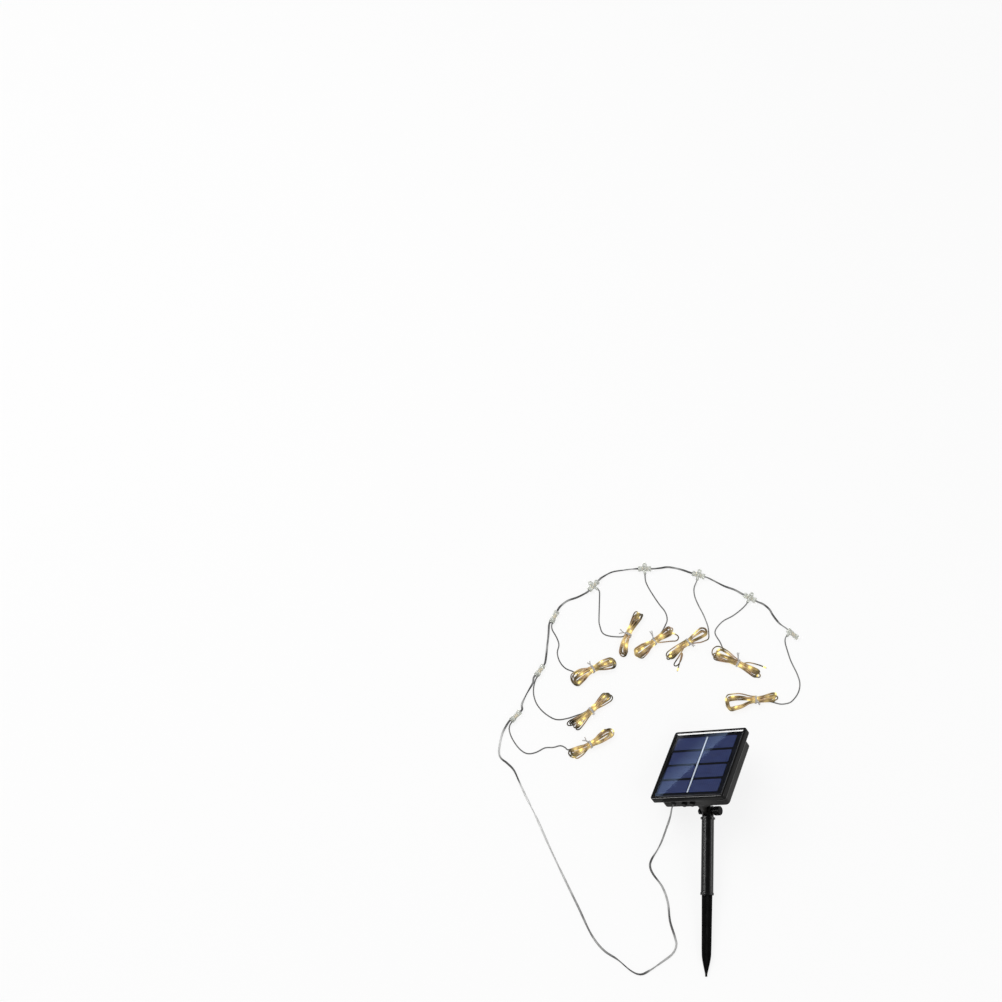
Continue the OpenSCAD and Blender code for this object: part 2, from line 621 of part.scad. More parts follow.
// Clamp and stake pieces
module stake_fork() {
    slot_w = tongue_t + 2 * run;
    color([0.06, 0.06, 0.065]) in_fork() {
        difference() {
            intersection() {
                along_y(fork_r, collar_y, eye_r);
                union() {
                    along_x(eye_r, -fork_r, fork_r);
                    translate([-fork_r, collar_y, -fork_r]) cube([2 * fork_r, -collar_y - 1.5, 2 * fork_r]);
                }
            }
            translate([-slot_w / 2, collar_y + 0.8, -fork_r - 1]) cube([slot_w, eye_r - collar_y, 2 * fork_r + 2]);
            along_x(bolt_r, -fork_r - 1, fork_r + 1);
            for (s = [-1, 1]) translate([s * (fork_r + eye_r * 0.86), 0, 0]) cube([eye_r, 3 * eye_r, 3 * eye_r], center = true);
        }
        along_y(collar_r, collar_y - collar_t, collar_y);
        along_y(peg_r, tube_top - peg_l, collar_y - collar_t);
    }
}
prong_x = fork_r + eye_r * 0.86 - eye_r / 2;
knob_x = prong_x + run;
insert_r = 3.9;
module clamp_bolt() {
    color([0.55, 0.55, 0.57]) in_fork() {
        along_x(bolt_r, -prong_x, knob_x + knob_l - 2 - 3 * run);
        translate([-prong_x - 2.6, 0, 0]) rotate([0, 90, 0]) cylinder(r = 4.4, h = 2.6, $fn = 6);
    }
}
module clamp_knob() {
    grips = 10;
    color([0.04, 0.04, 0.045]) in_fork() difference() {
        union() {
            along_x(knob_r, knob_x + 1, knob_x + knob_l - 0.8);
            along_x(knob_r - 0.7, knob_x, knob_x + knob_l);
        }
        along_x(insert_r, knob_x - 1, knob_x + knob_l - 2);
        for (g = [0 : grips - 1]) rotate([g * 360 / grips, 0, 0]) translate([0, knob_r + 0.5, 0]) along_x(1.1, knob_x + 0.5, knob_x + knob_l + 1);
    }
}
module knob_insert() {
    color([0.75, 0.6, 0.3]) in_fork() difference() {
        along_x(insert_r, knob_x, knob_x + knob_l - 2);
        along_x(bolt_r + run, knob_x - 1, knob_x + knob_l);
    }
}
module stake_tube() {
    color([0.1, 0.1, 0.105]) in_stake() difference() {
        along_y(tube_r, tube_end, tube_top);
        along_y(bore_r, tube_end - 1, tube_top + 1);
    }
}
// Half width of a fin, by the distance from the spike's point
fin_outline = [[0, 0.6], [1.7, 1], [7.3, 2.3], [13.7, 3.8], [20, 5.1], [25.5, 5.8], [35, 6.1]];
module ground_spike() {
    collar_top = tube_end - run;
    fin_top = collar_top - spike_collar_t;
    point_y = fin_top - spike_l;
    side = concat([for (p = fin_outline) [p[1], point_y + p[0]]], [[fin_r, fin_top + 0.5]]);
    color([0.03, 0.03, 0.03]) in_stake() {
        along_y(peg_r, collar_top, collar_top + peg_l);
        along_y(spike_collar_r, fin_top, collar_top);
        for (a = [0, 90]) rotate([0, a, 0]) translate([0, 0, -fin_t / 2]) linear_extrude(fin_t)
            polygon(concat(side, [for (k = [len(side) - 1 : -1 : 0]) [-side[k].x, side[k].y]]));
    }
}

// Cables, junctions and strands
module lead_cable() {
    color([0.35, 0.35, 0.34]) tube_along(smooth(lead_points(), 3 * cable_d), cable_d, 8);
}
module ring_cable(i) {
    color([0.35, 0.35, 0.34]) tube_along(smooth(ring_points(i), 3 * cable_d), cable_d, 8);
}
module branch(i) {
    color([0.4, 0.4, 0.4]) tube_along(smooth(branch_points(i), 3.2 * strand_d), strand_d, 8);
}
module hank(i) {
    color([0.75, 0.6, 0.3]) tube_along(hank_wire(i), strand_d, 5);
}
module at_junction(i) {
    translate([junction_at[i].x, junction_at[i].y, junction_z]) rotate([0, 0, junction_at[i].z]) children();
}
module splice_block() {
    translate([-splice.x / 2, -splice.y / 2, -splice.z / 2]) cube(splice);
}
module junction(i) {
    kind = junction_at[i][3];
    half = junction_l / 2;
    color([0.85, 0.86, 0.84, 0.8]) at_junction(i) difference() {
        union() {
            along_x(barrel_r, -half + 1, half - 1);
            along_x(lip_r, -half, -half + lip_l);
            if (kind == 2) translate([half - lip_l, 0, 0]) rotate([0, 90, 0]) cylinder(r1 = lip_r, r2 = lip_r - 1, h = lip_l);
            else along_x(lip_r, half - lip_l, half);
            if (kind == 0) along_x(lip_r, -half, -half + 2 * lip_l);
            if (kind > 0) translate([kind == 2 ? end_neck_x : 0, 0, 0]) along_y(neck_r, -neck_reach, 0);
            if (kind == 1) {
                translate([0, barrel_r + eyelet_r - 0.4, -eyelet_h / 2]) cylinder(r = eyelet_r, h = eyelet_h);
                translate([-eyelet_r, 0, -eyelet_h / 2]) cube([2 * eyelet_r, barrel_r + eyelet_r - 0.4, eyelet_h]);
            }
        }
        if (kind == 1) translate([0, barrel_r + eyelet_r - 0.4, -eyelet_h]) cylinder(r = eyelet_hole_r, h = 2 * eyelet_h);
        splice_block();
    }
}
module junction_splices() {
    color([0.7, 0.55, 0.35]) for (i = [0 : len(junction_at) - 1]) at_junction(i) splice_block();
}
// Light beads, spread evenly along the steps of each hank: a six-sided barrel with pointed ends
bead_sides = 6;
function bead_place(w, b) = 2 + round((b + 0.5) * (len(w) - 4) / beads);
function bead_points(a, e) =
    let (t = unit(e - a), m = (a + e) / 2, side = unit(cross(t, [0, 0, 1])), up = cross(side, t))
    concat([m - t * bead_l / 2], [m + t * bead_l / 2],
        [for (f = [-0.3, 0.3], k = [0 : bead_sides - 1])
            m + t * f * bead_l + bead_r * (cos(k * 360 / bead_sides) * side + sin(k * 360 / bead_sides) * up)]);
function bead_faces(n) = [for (k = [0 : bead_sides - 1])
    let (a = n + 2 + k, b = n + 2 + (k + 1) % bead_sides)
    each [[n, a, b], [a, a + bead_sides, b + bead_sides], [a, b + bead_sides, b], [n + 1, b + bead_sides, a + bead_sides]]];
module led_beads() {
    wires = [for (i = [0 : len(hank_at) - 1]) hank_wire(i)];
    ends = [for (w = wires, b = [0 : beads - 1]) let (s = bead_place(w, b)) [w[s], w[s + 1]]];
    color([1, 0.85, 0.5]) polyhedron([for (e = ends) each bead_points(e[0], e[1])],
        [for (k = [0 : len(ends) - 1]) each bead_faces(k * (2 + 2 * bead_sides))], convexity = 20);
}
tie_half = waist_r + widest + spread + strand_d / 2 + ease;
tie_high = (layers - 1) * layer_step + strand_d + 2 * ease;
module strand_ties() {
    color([0.8, 0.8, 0.78]) for (i = [0 : len(hank_at) - 1])
        translate([hank_at[i].x, hank_at[i].y, 0]) rotate([0, 0, hank_at[i].z]) tie();
}
module tie() {
    translate([-tie_w / 2, 0, 0]) rotate([90, 0, 90]) linear_extrude(tie_w) difference() {
        translate([-tie_half - tie_t, 0]) square([2 * (tie_half + tie_t), tie_high + 2 * tie_t]);
        translate([-tie_half, tie_t]) square([2 * tie_half, tie_high]);
    }
    for (s = [-1, 1]) translate([s * 0.3, tie_half / 2, tie_high + 1.5 * tie_t]) rotate([-18, s * 24, 0])
        cylinder(r = 0.6, h = 8);
}

echo(hank_gaps = [for (i = [0 : len(hank_at) - 1]) least_gap(hank_wire(i), strand_d)]);
echo(hank_lengths = [for (i = [0 : len(hank_at) - 1]) route_length(hank_wire(i))]);
echo(branch_lengths = [for (i = [0 : len(hank_at) - 1]) route_length(smooth(branch_points(i), 1))]);
echo(ring_lengths = [for (i = [0 : len(ring_routes) - 1]) route_length(smooth(ring_points(i), 1))]);
echo(lead_length = route_length(smooth(lead_points(), 1)), lead_rings = len(smooth(lead_points(), 3 * cable_d)));
echo(pivot = pivot, lead_exit = lead_exit(0));

bezel_frame();
panel_glass();
solar_cells();
bus_ribbon();
cell_board();
housing_gasket();
rear_housing();
housing_screws();
battery();
battery_tray();
battery_contacts();
control_board();
board_parts();
tact_switches();
power_button();
mode_button();
cable_gland();
tilt_bracket();
bracket_screws();
stake_fork();
clamp_bolt();
clamp_knob();
knob_insert();
stake_tube();
ground_spike();
lead_cable();
for (i = [0 : 6]) ring_cable(i);
for (i = [0 : 7]) junction(i);
for (i = [0 : 7]) branch(i);
for (i = [0 : 7]) hank(i);
junction_splices();
led_beads();
strand_ties();
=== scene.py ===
"""Visual model of the solar light set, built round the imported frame."""
import math

import bmesh
import bpy
import numpy as np
from mathutils import Matrix, Vector


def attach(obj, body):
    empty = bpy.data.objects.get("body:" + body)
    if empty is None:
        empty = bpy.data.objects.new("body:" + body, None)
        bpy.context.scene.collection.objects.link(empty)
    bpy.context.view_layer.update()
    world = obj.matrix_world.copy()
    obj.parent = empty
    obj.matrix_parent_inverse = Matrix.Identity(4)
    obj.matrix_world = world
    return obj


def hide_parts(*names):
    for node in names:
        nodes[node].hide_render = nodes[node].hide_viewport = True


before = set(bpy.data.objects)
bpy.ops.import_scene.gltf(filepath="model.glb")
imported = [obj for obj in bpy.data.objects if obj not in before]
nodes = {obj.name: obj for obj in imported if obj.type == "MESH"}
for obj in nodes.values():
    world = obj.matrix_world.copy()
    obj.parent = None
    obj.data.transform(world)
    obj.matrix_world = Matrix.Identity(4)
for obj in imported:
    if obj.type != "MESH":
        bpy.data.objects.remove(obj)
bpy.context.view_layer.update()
MM = 0.001

# Camera: place in mm, lens, elevation and turn, as fitted to the photograph
CAMERA_AT = (-229.4, -526.2, 2152.9)
CAMERA_LENS = 60.0
SENSOR_W = 36
CAMERA_REACH = 50
CAMERA_DOWN = math.radians(64.66)
CAMERA_TURN = math.radians(2.643)

# Pose of the head and stake, repeated from the part's source
PITCH, SWIVEL, TILT = 9, 39, 31
TIP = Vector((11.5, -157, 1.7))
TIP_REACH = 205.7
HEAD_ORIGIN = (0, 38, 51)


def turn(axis, degrees):
    return Matrix.Rotation(math.radians(degrees), 4, axis)


STAKE_TURN = turn("X", PITCH)
PIVOT = TIP + STAKE_TURN.to_3x3() @ Vector((0, TIP_REACH, 0))
IN_STAKE = Matrix.Translation(PIVOT * MM) @ STAKE_TURN
IN_FORK = IN_STAKE @ turn("Y", -SWIVEL)
IN_HEAD = IN_FORK @ turn("X", -TILT) @ Matrix.Translation(Vector(HEAD_ORIGIN) * MM)


def add_object(name, data):
    obj = bpy.data.objects.new(name, data)
    bpy.context.scene.collection.objects.link(obj)
    return obj


def set_camera():
    about = Matrix.Rotation(CAMERA_TURN, 3, "Z")
    right = about @ Vector((1, 0, 0))
    up = about @ Vector((0, math.sin(CAMERA_DOWN), math.cos(CAMERA_DOWN)))
    back = about @ Vector((0, -math.cos(CAMERA_DOWN), math.sin(CAMERA_DOWN)))
    data = bpy.data.cameras.new("camera")
    data.lens = CAMERA_LENS
    data.sensor_width = SENSOR_W
    data.clip_end = CAMERA_REACH
    placed = Matrix((right, up, back)).transposed().to_4x4()
    placed.translation = Vector(CAMERA_AT) * MM
    obj = add_object("camera", data)
    obj.matrix_world = placed
    bpy.context.scene.camera = obj


set_camera()
bpy.context.scene.view_settings.view_transform = "Standard"


# Materials

# Places of the sockets on a node that mixes two colours
MIX_FACTOR, MIX_A, MIX_B, MIX_RESULT = 0, 6, 7, 2


def rgb(colour):
    """Three parts of a colour; a grey may be given as one number."""
    return (colour,) * 3 if isinstance(colour, (int, float)) else tuple(colour)


class Nodes:
    """Short way to build the nodes of a material, or of the world."""

    def __init__(self, name, world=False):
        self.mat = (bpy.data.worlds if world else bpy.data.materials).new(name)
        self.mat.use_nodes = True
        self.tree = self.mat.node_tree
        self.shader = self.tree.nodes["Background" if world else "Principled BSDF"]
        self.out = self.tree.nodes["World Output" if world else "Material Output"]

    def add(self, kind, **values):
        node = self.tree.nodes.new("ShaderNode" + kind)
        for key, value in values.items():
            if hasattr(node, key):
                setattr(node, key, value)
            else:
                node.inputs[key.replace("_", " ")].default_value = value
        return node

    def link(self, a, b):
        self.tree.links.new(a, b)

    def set(self, **values):
        for key, value in values.items():
            self.shader.inputs[key.replace("_", " ")].default_value = value

    def coords(self):
        return self.add("TexCoord").outputs["Object"]

    def feed(self, value, socket):
        """Sets a socket to a number or a colour, or links another node's output to it."""
        if isinstance(value, bpy.types.NodeSocket):
            self.link(value, socket)
        elif isinstance(value, (int, float)):
            socket.default_value = value
        else:
            socket.default_value = (*value, 1)

    def calc(self, operation, *values):
        node = self.add("Math", operation=operation)
        for value, socket in zip(values, node.inputs):
            self.feed(value, socket)
        return node.outputs[0]

    def noise(self, scale, detail, stretch=None):
        source = self.coords()
        if stretch:
            mapping = self.add("Mapping")
            mapping.inputs["Scale"].default_value = stretch
            self.link(source, mapping.inputs["Vector"])
            source = mapping.outputs["Vector"]
        tex = self.add("TexNoise", Scale=scale, Detail=detail, Roughness=0.55)
        self.link(source, tex.inputs["Vector"])
        return tex.outputs["Fac"]

    def ramp(self, fac, stops):
        node = self.add("ValToRGB")
        elements = node.color_ramp.elements
        while len(elements) < len(stops):
            elements.new(0.5)
        for element, (place, colour) in zip(elements, stops):
            element.position = place
            element.color = (*rgb(colour), 1)
        self.link(fac, node.inputs["Fac"])
        return node.outputs["Color"]

    def mix(self, fac, a, b, blend="MIX"):
        node = self.add("Mix", data_type="RGBA", blend_type=blend)
        for value, place in ((fac, MIX_FACTOR), (a, MIX_A), (b, MIX_B)):
            self.feed(value, node.inputs[place])
        return node.outputs[MIX_RESULT]

    def vary(self, socket, noise, low, high, start=0.3, end=0.7):
        """Lets an input of the shader drift from low to high with a noise."""
        self.link(self.ramp(noise, [(start, low), (end, high)]), self.shader.inputs[socket])

    def grain(self, scale, strength, depth):
        """Fine texture in the finish."""
        node = self.add("Bump", Strength=strength, Distance=depth)
        self.link(self.noise(scale, 2), node.inputs["Height"])
        self.link(node.outputs["Normal"], self.shader.inputs["Normal"])

    def blend_surfaces(self, fac, a, b):
        """Shows shader a where fac is 0 and shader b where it is 1."""
        node = self.add("MixShader")
        for source, socket in zip((fac, a, b), node.inputs):
            self.link(source, socket)
        self.link(node.outputs[0], self.out.inputs["Surface"])


def plastic(name, low, high, rough, grain, strength, specular):
    """Moulded plastic: slight colour drift, fine texture in the finish, rubbed roughness."""
    n = Nodes(name)
    n.set(Specular_IOR_Level=specular)
    n.vary("Base Color", n.noise(38, 4), low, high)
    n.vary("Roughness", n.noise(90, 5), rough - 0.06, rough + 0.07, 0.35, 0.75)
    n.grain(grain, strength, 0.0002)
    return n.mat


def metal(name, colour, rough, stretch=(1, 1, 1)):
    """Metal with fine marks, drawn out into streaks by stretch."""
    n = Nodes(name)
    n.set(Metallic=1.0)
    n.vary("Base Color", n.noise(400, 3, stretch), [c * 0.72 for c in colour], colour, 0.3, 0.65)
    n.vary("Roughness", n.noise(700, 3, stretch), rough - 0.08, rough + 0.1)
    return n.mat


# Silver fingers on the cells: axis that they follow each other along, their pitch in metres, colour
FINGERS = (("Y", 0.0022, (0.032, 0.05, 0.17)), ("X", 0.0031, (0.036, 0.052, 0.17)))
FINGER_W = 0.1


def cell_material():
    """Deep blue silicon with fine silver fingers both ways and a soft crystal drift."""
    n = Nodes("solar_silicon")
    n.set(Specular_IOR_Level=0.25, Roughness=0.35)
    split = n.add("SeparateXYZ")
    n.link(n.coords(), split.inputs[0])
    colour = n.ramp(n.noise(45, 3, (1, 2.2, 1)),
                    [(0.3, (0.009, 0.016, 0.078)), (0.72, (0.017, 0.029, 0.115))])
    for axis, pitch, silver in FINGERS:
        across = n.calc("FRACT", n.calc("MULTIPLY", split.outputs[axis], 1 / pitch))
        finger = n.ramp(across, [(0.0, 1), (FINGER_W, 0), (1 - FINGER_W, 0), (1.0, 1)])
        colour = n.mix(finger, colour, silver)
    n.link(colour, n.shader.inputs["Base Color"])
    return n.mat


def window_material():
    """Clear window: lets the cells show, with a thin gloss on top."""
    n = Nodes("clear_window")
    n.tree.nodes.remove(n.shader)
    clear = n.add("BsdfTransparent", Color=(0.93, 0.95, 0.98, 1))
    gloss = n.add("BsdfGlossy", Color=(0.9, 0.93, 1.0, 1))
    n.link(n.ramp(n.noise(60, 3), [(0.3, 0.02), (0.8, 0.05)]), gloss.inputs["Roughness"])
    outside = n.calc("SUBTRACT", 1.0, n.add("NewGeometry").outputs["Backfacing"])
    facing = n.calc("MULTIPLY", n.add("Fresnel", IOR=1.42).outputs[0], outside)
    n.blend_surfaces(facing, clear.outputs[0], gloss.outputs[0])
    return n.mat


def tinted(name, rough, specular, glow=0.0):
    """Clear-jacketed wire: its colour comes from the mesh's own tint along the wire, with painted glow and
    painted shade in it.
    """
    n = Nodes(name)
    n.set(Specular_IOR_Level=specular, IOR=1.45)
    tint = n.add("VertexColor", layer_name="tint")
    drift = n.ramp(n.noise(240, 3), [(0.3, 0.78), (0.7, 1.0)])
    n.link(n.mix(1.0, tint.outputs["Color"], drift, "MULTIPLY"), n.shader.inputs["Base Color"])
    n.vary("Roughness", n.noise(300, 2), rough - 0.08, rough + 0.1, 0.3, 0.8)
    n.grain(1500, 0.1, 0.0002)
    # Painted glow: the tint's alpha makes the jacket itself shine near the beads, though the wire is no lamp
    if glow:
        n.set(Emission_Color=(1.0, 0.8, 0.36, 1))
        n.link(n.calc("MULTIPLY", tint.outputs["Alpha"], glow), n.shader.inputs["Emission Strength"])
    return n.mat


def frosted(name, colour, transmission, rough):
    """Frosted clear moulding, a little milky."""
    n = Nodes(name)
    n.set(Transmission_Weight=transmission, IOR=1.46, Specular_IOR_Level=0.2)
    n.vary("Base Color", n.noise(260, 4), [c * 0.86 for c in colour], colour)
    n.vary("Roughness", n.noise(400, 3), rough - 0.1, rough + 0.1)
    n.grain(900, 0.15, 0.0003)
    return n.mat


def lit_resin():
    """Clear drop of resin with a lit chip inside."""
    n = Nodes("lit_resin")
    n.set(Base_Color=(0.5, 0.36, 0.12, 1), Roughness=0.25, Emission_Strength=1.0)
    n.vary("Emission Color", n.noise(500, 2), (1.0, 0.72, 0.16), (1.0, 0.84, 0.34))
    return n.mat


# Plastics: darkest and lightest tone, roughness, scale and strength of the grain, specular level
GLOSS_BLACK = plastic("gloss_black", 0.0012, 0.0026, 0.13, 500, 0.02, 0.13)
SATIN_BLACK = plastic("satin_black", (0.009, 0.0085, 0.008), (0.016, 0.015, 0.0142), 0.4, 1300, 0.08, 0.18)
TUBE_BLACK = plastic("tube_black", 0.003, 0.005, 0.24, 700, 0.01, 0.24)
SPIKE_BLACK = plastic("spike_black", 0.0015, 0.003, 0.32, 900, 0.03, 0.24)
GRIP_BLACK = plastic("grip_black", 0.002, 0.004, 0.45, 800, 0.04, 0.07)
BORDER_BLACK = plastic("border_black", (0.002, 0.002, 0.004), (0.003, 0.003, 0.006), 0.35, 400, 0.03, 0.08)
RUBBER_BLACK = plastic("rubber_black", 0.008, 0.016, 0.62, 1100, 0.3, 0.25)
BOARD_GREEN = plastic("board_green", (0.01, 0.09, 0.03), (0.02, 0.15, 0.05), 0.4, 600, 0.1, 0.4)
WRAP_GREEN = plastic("wrap_green", (0.03, 0.16, 0.07), (0.05, 0.22, 0.1), 0.3, 300, 0.05, 0.5)
# Metals: colour, roughness, direction of the streaks
STEEL = metal("plated_steel", (0.62, 0.62, 0.64), 0.3)
BLACK_STEEL = metal("blackened_steel", (0.03, 0.03, 0.032), 0.34)
BRASS = metal("turned_brass", (0.78, 0.56, 0.24), 0.28, (1, 6, 1))
RIBBON = metal("tinned_ribbon", (0.88, 0.9, 0.93), 0.34, (8, 1, 1))
SILICON = cell_material()
WINDOW = window_material()
# Wires: roughness, specular level, painted glow near the beads
CABLE = tinted("cable_jacket", 0.5, 0.14)
STRAND = tinted("strand_jacket", 0.46, 0.16, 0.42)
# Frosted mouldings: colour, transmission, roughness
JUNCTION_CLEAR = frosted("junction_clear", (0.8, 0.82, 0.76), 0.45, 0.34)
TIE_CLEAR = frosted("tie_clear", (0.66, 0.64, 0.62), 0.4, 0.4)
RESIN = lit_resin()

CAD_LOOKS = [
    (SATIN_BLACK, "rear_housing battery_tray tact_switches power_button mode_button tilt_bracket"),
    (RUBBER_BLACK, "housing_gasket board_parts cable_gland"), (BORDER_BLACK, "cell_board"),
    (STEEL, "housing_screws battery_contacts bracket_screws"), (BLACK_STEEL, "clamp_bolt"),
    (BRASS, "knob_insert junction_splices"), (WRAP_GREEN, "battery"), (BOARD_GREEN, "control_board"),
    (TUBE_BLACK, "stake_fork stake_tube"), (GRIP_BLACK, "clamp_knob"), (SPIKE_BLACK, "ground_spike")]
for look, names in CAD_LOOKS:
    for node_name in names.split():
        mesh = nodes[node_name].data
        mesh.materials.clear()
        mesh.materials.append(look)


# Mesh helpers
def smooth_by_angle(mesh, degrees):
    bm = bmesh.new()
    bm.from_mesh(mesh)
    for f in bm.faces:
        f.smooth = True
    for e in bm.edges:
        e.smooth = len(e.link_faces) == 2 and e.calc_face_angle(0) < math.radians(degrees)
    bm.to_mesh(mesh)
    bm.free()


def piece(name, shape, material, place=None, sharp=40, tint=None):
    """A mesh object from a shape in mm, riding with the head, which carries all that is drawn here."""
    mesh = bpy.data.meshes.new(name)
    mesh.from_pydata([v * MM for v in shape.verts], [], shape.faces)
    mesh.materials.append(material)
    if tint is not None:
        layer = mesh.color_attributes.new("tint", "FLOAT_COLOR", "POINT")
        for item, colour in zip(layer.data, tint):
            item.color = colour if len(colour) == 4 else (*colour, 0)
    bm = bmesh.new()
    bm.from_mesh(mesh)
    bmesh.ops.recalc_face_normals(bm, faces=bm.faces)
    bm.to_mesh(mesh)
    bm.free()
    smooth_by_angle(mesh, sharp)
    obj = add_object(name, mesh)
    if place is not None:
        obj.matrix_world = place
    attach(obj, "head")
    return obj


def circle(sides, start=0.0):
    """Points of a circle of radius 1, the first one turned by start steps."""
    angles = (2 * math.pi * (k + start) / sides for k in range(sides))
    return [(math.cos(a), math.sin(a)) for a in angles]


def corner_arcs(count):
    """Points of a rounded square's corners: the corner's signs, and its arc's cosine and sine."""
    for q, (sx, sy) in enumerate(((1, 1), (-1, 1), (-1, -1), (1, -1))):
        for k in range(count):
            a = math.radians(90 * q + 90 * k / (count - 1))
            yield sx, sy, math.cos(a), math.sin(a)


def rotated(x, y, a):
    """A point, or arrays of them, turned by an angle in radians."""
    c, s = math.cos(a), math.sin(a)
    return x * c - y * s, x * s + y * c


class Shape:
    """Gathers several closed solids into one mesh."""

    def __init__(self):
        self.verts, self.faces = [], []

    def sweep(self, rings, closed=False, m=None):
        """Joins equal rings of points, moved by m; a closed sweep ends where it starts."""
        base, n = len(self.verts), len(rings[0])
        self.verts += [m @ Vector(p) if m else Vector(p) for ring in rings for p in ring]
        faces = []
        for i in range(len(rings) if closed else len(rings) - 1):
            j = (i + 1) % len(rings)
            for k in range(n):
                faces.append((i * n + k, i * n + (k + 1) % n, j * n + (k + 1) % n, j * n + k))
        if not closed:
            faces += [tuple(range(n)), tuple((len(rings) - 1) * n + k for k in range(n))]
        self.faces += [tuple(base + v for v in f) for f in faces]
        return self

    def lathe(self, profile, m=None, sides=32):
        """A turned solid about X from a profile of (x, radius)."""
        ring = circle(sides)
        return self.sweep([[(x, r * c, r * s) for c, s in ring] for x, r in profile], m=m)


CORNER_POINTS = 9


def rounded_square(width, radius, z):
    far = width / 2 - radius
    return [(sx * far + radius * c, sy * far + radius * s, z) for sx, sy, c, s in corner_arcs(CORNER_POINTS)]


# Head, in mm, with z = 0 on the top of the frame's rim
PANEL_W, BEZEL_D, STEP_IN, CORNER, CORNER_MIN = 110, 9, 6.3, 3.5, 0.7
RIM_W, WINDOW_SINK, GLASS_T, CELL_T, BOARD_T, LEDGE_W = 3.5, 0.6, 1.7, 0.4, 1.6, 4
CELL_TOP = -WINDOW_SINK - GLASS_T
BOARD_TOP = CELL_TOP - CELL_T
LEDGE_TOP = BOARD_TOP - BOARD_T
HOUSING_W = PANEL_W - 2 * STEP_IN
# Shown pane: its top, distance from the head's side, corner and the gap under its edge
GLASS_TOP, PANE_INSET, PANE_CORNER, PANE_EASE = -1.45, 3.98, 1.2, 0.02
# Frame's sloping inner edge: where it starts, its eased corner, width and drop
BEVEL_FROM, BEVEL_EASE, BEVEL_RUN, BEVEL_DROP = 2.82, 0.06, 2.0, 1.3
# Shadow groove round the frame's side: from, to, depth and eased corner
GROOVE_LOW, GROOVE_HIGH, GROOVE_D, GROOVE_EASE = -6.9, -6.3, 0.22, 0.02
CELL_COLUMNS, CELL_ROWS, CELL_CUT, CELL_SINK = 2, 4, 0.9, 0.05
CELL_BORDER, COLUMN_GAP, ROW_GAP, CELL_SHIFT = 9.8, 4.4, 3.9, -2.6
RIBBON_W, RIBBON_SINK, RIBBON_EDGE = 2.1, 0.02, 0.12


def bezel():
    """Front frame: rolled rim, sloping inner edge, ledge under the window, groove round the side."""
    seat = GLASS_TOP + PANE_EASE
    outline = [(0.5, -BEZEL_D), (0.15, -BEZEL_D + 0.3), (0, -BEZEL_D + 0.8),
               (0, GROOVE_LOW), (GROOVE_D, GROOVE_LOW + GROOVE_EASE),
               (GROOVE_D, GROOVE_HIGH - GROOVE_EASE), (0, GROOVE_HIGH),
               (0, -0.85), (0.12, -0.45), (0.4, -0.13), (0.8, 0.0), (BEVEL_FROM - 2 * BEVEL_EASE, 0.0),
               (BEVEL_FROM, -BEVEL_EASE), (BEVEL_FROM + BEVEL_RUN, -BEVEL_EASE - BEVEL_DROP),
               (4.9, seat), (3.9, seat), (3.9, LEDGE_TOP),
               (RIM_W + LEDGE_W, LEDGE_TOP), (RIM_W + LEDGE_W, -BEZEL_D)]
    rings = [rounded_square(PANEL_W - 2 * d, max(CORNER - d, CORNER_MIN), z) for d, z in outline]
    shape = Shape().sweep(rings, closed=True)
    obj = piece("front_frame", shape, GLOSS_BLACK, IN_HEAD, sharp=50)
    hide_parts("bezel_frame")


def window():
    rings = [rounded_square(PANEL_W - 2 * PANE_INSET, PANE_CORNER, z) for z in (CELL_TOP, GLASS_TOP)]
    obj = piece("window_pane", Shape().sweep(rings), WINDOW, IN_HEAD, sharp=30)
    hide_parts("panel_glass")


def cells():
    """Cells with cut corners, and the pale ribbon down the middle."""
    area = PANEL_W - 2 * CELL_BORDER
    w = (area - (CELL_COLUMNS - 1) * COLUMN_GAP) / CELL_COLUMNS
    h = (area - (CELL_ROWS - 1) * ROW_GAP) / CELL_ROWS
    cut = CELL_CUT
    shape = Shape()
    for c in range(CELL_COLUMNS):
        for r in range(CELL_ROWS):
            x, y = CELL_SHIFT - area / 2 + c * (w + COLUMN_GAP), -area / 2 + r * (h + ROW_GAP)
            base = [(x + cut, y), (x + w - cut, y), (x + w, y + cut), (x + w, y + h - cut),
                    (x + w - cut, y + h), (x + cut, y + h), (x, y + h - cut), (x, y + cut)]
            shape.sweep([[(*p, z) for p in base] for z in (BOARD_TOP, CELL_TOP - CELL_SINK)])
    obj = piece("silicon_cells", shape, SILICON, IN_HEAD)
    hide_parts("solar_cells")
    left, right = CELL_SHIFT - RIBBON_W / 2, CELL_SHIFT + RIBBON_W / 2
    top = CELL_TOP - RIBBON_SINK
    section = [(left, BOARD_TOP), (left, top - RIBBON_EDGE), (left + RIBBON_EDGE, top),
               (right - RIBBON_EDGE, top), (right, top - RIBBON_EDGE), (right, BOARD_TOP)]
    strip = Shape().sweep([[(x, y, z) for x, z in section] for y in (-area / 2, area / 2)])
    obj = piece("collector_ribbon", strip, RIBBON, IN_HEAD)
    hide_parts("bus_ribbon")


bezel()
window()
cells()


# Cables, junctions and light strands
CABLE_D, STRAND_D = 2.8, 1.5
JUNCTION_L, LIP_R, SPLIT_Y, SPLIT_EASE, NECK_REACH, END_NECK_X = 18, 3.9, 2, 0.6, 8, -4
# A wire starts this far inside its port, and leaves it straight for this far: a cable, a strand
INSIDE, CABLE_RUN, STRAND_RUN = 1, 4, 3
SLIM, EARED, END = 0, 1, 2
# Junctions: x, y, direction, kind
JUNCTIONS = [(-242, 172, 50, SLIM), (-212, 238, 59, SLIM), (-195, 317, 66, SLIM), (-142, 366, 50, EARED),
             (-71, 395, 3, EARED), (4, 389, -15, EARED), (75, 358, -27, EARED), (133, 307, -42, END)]
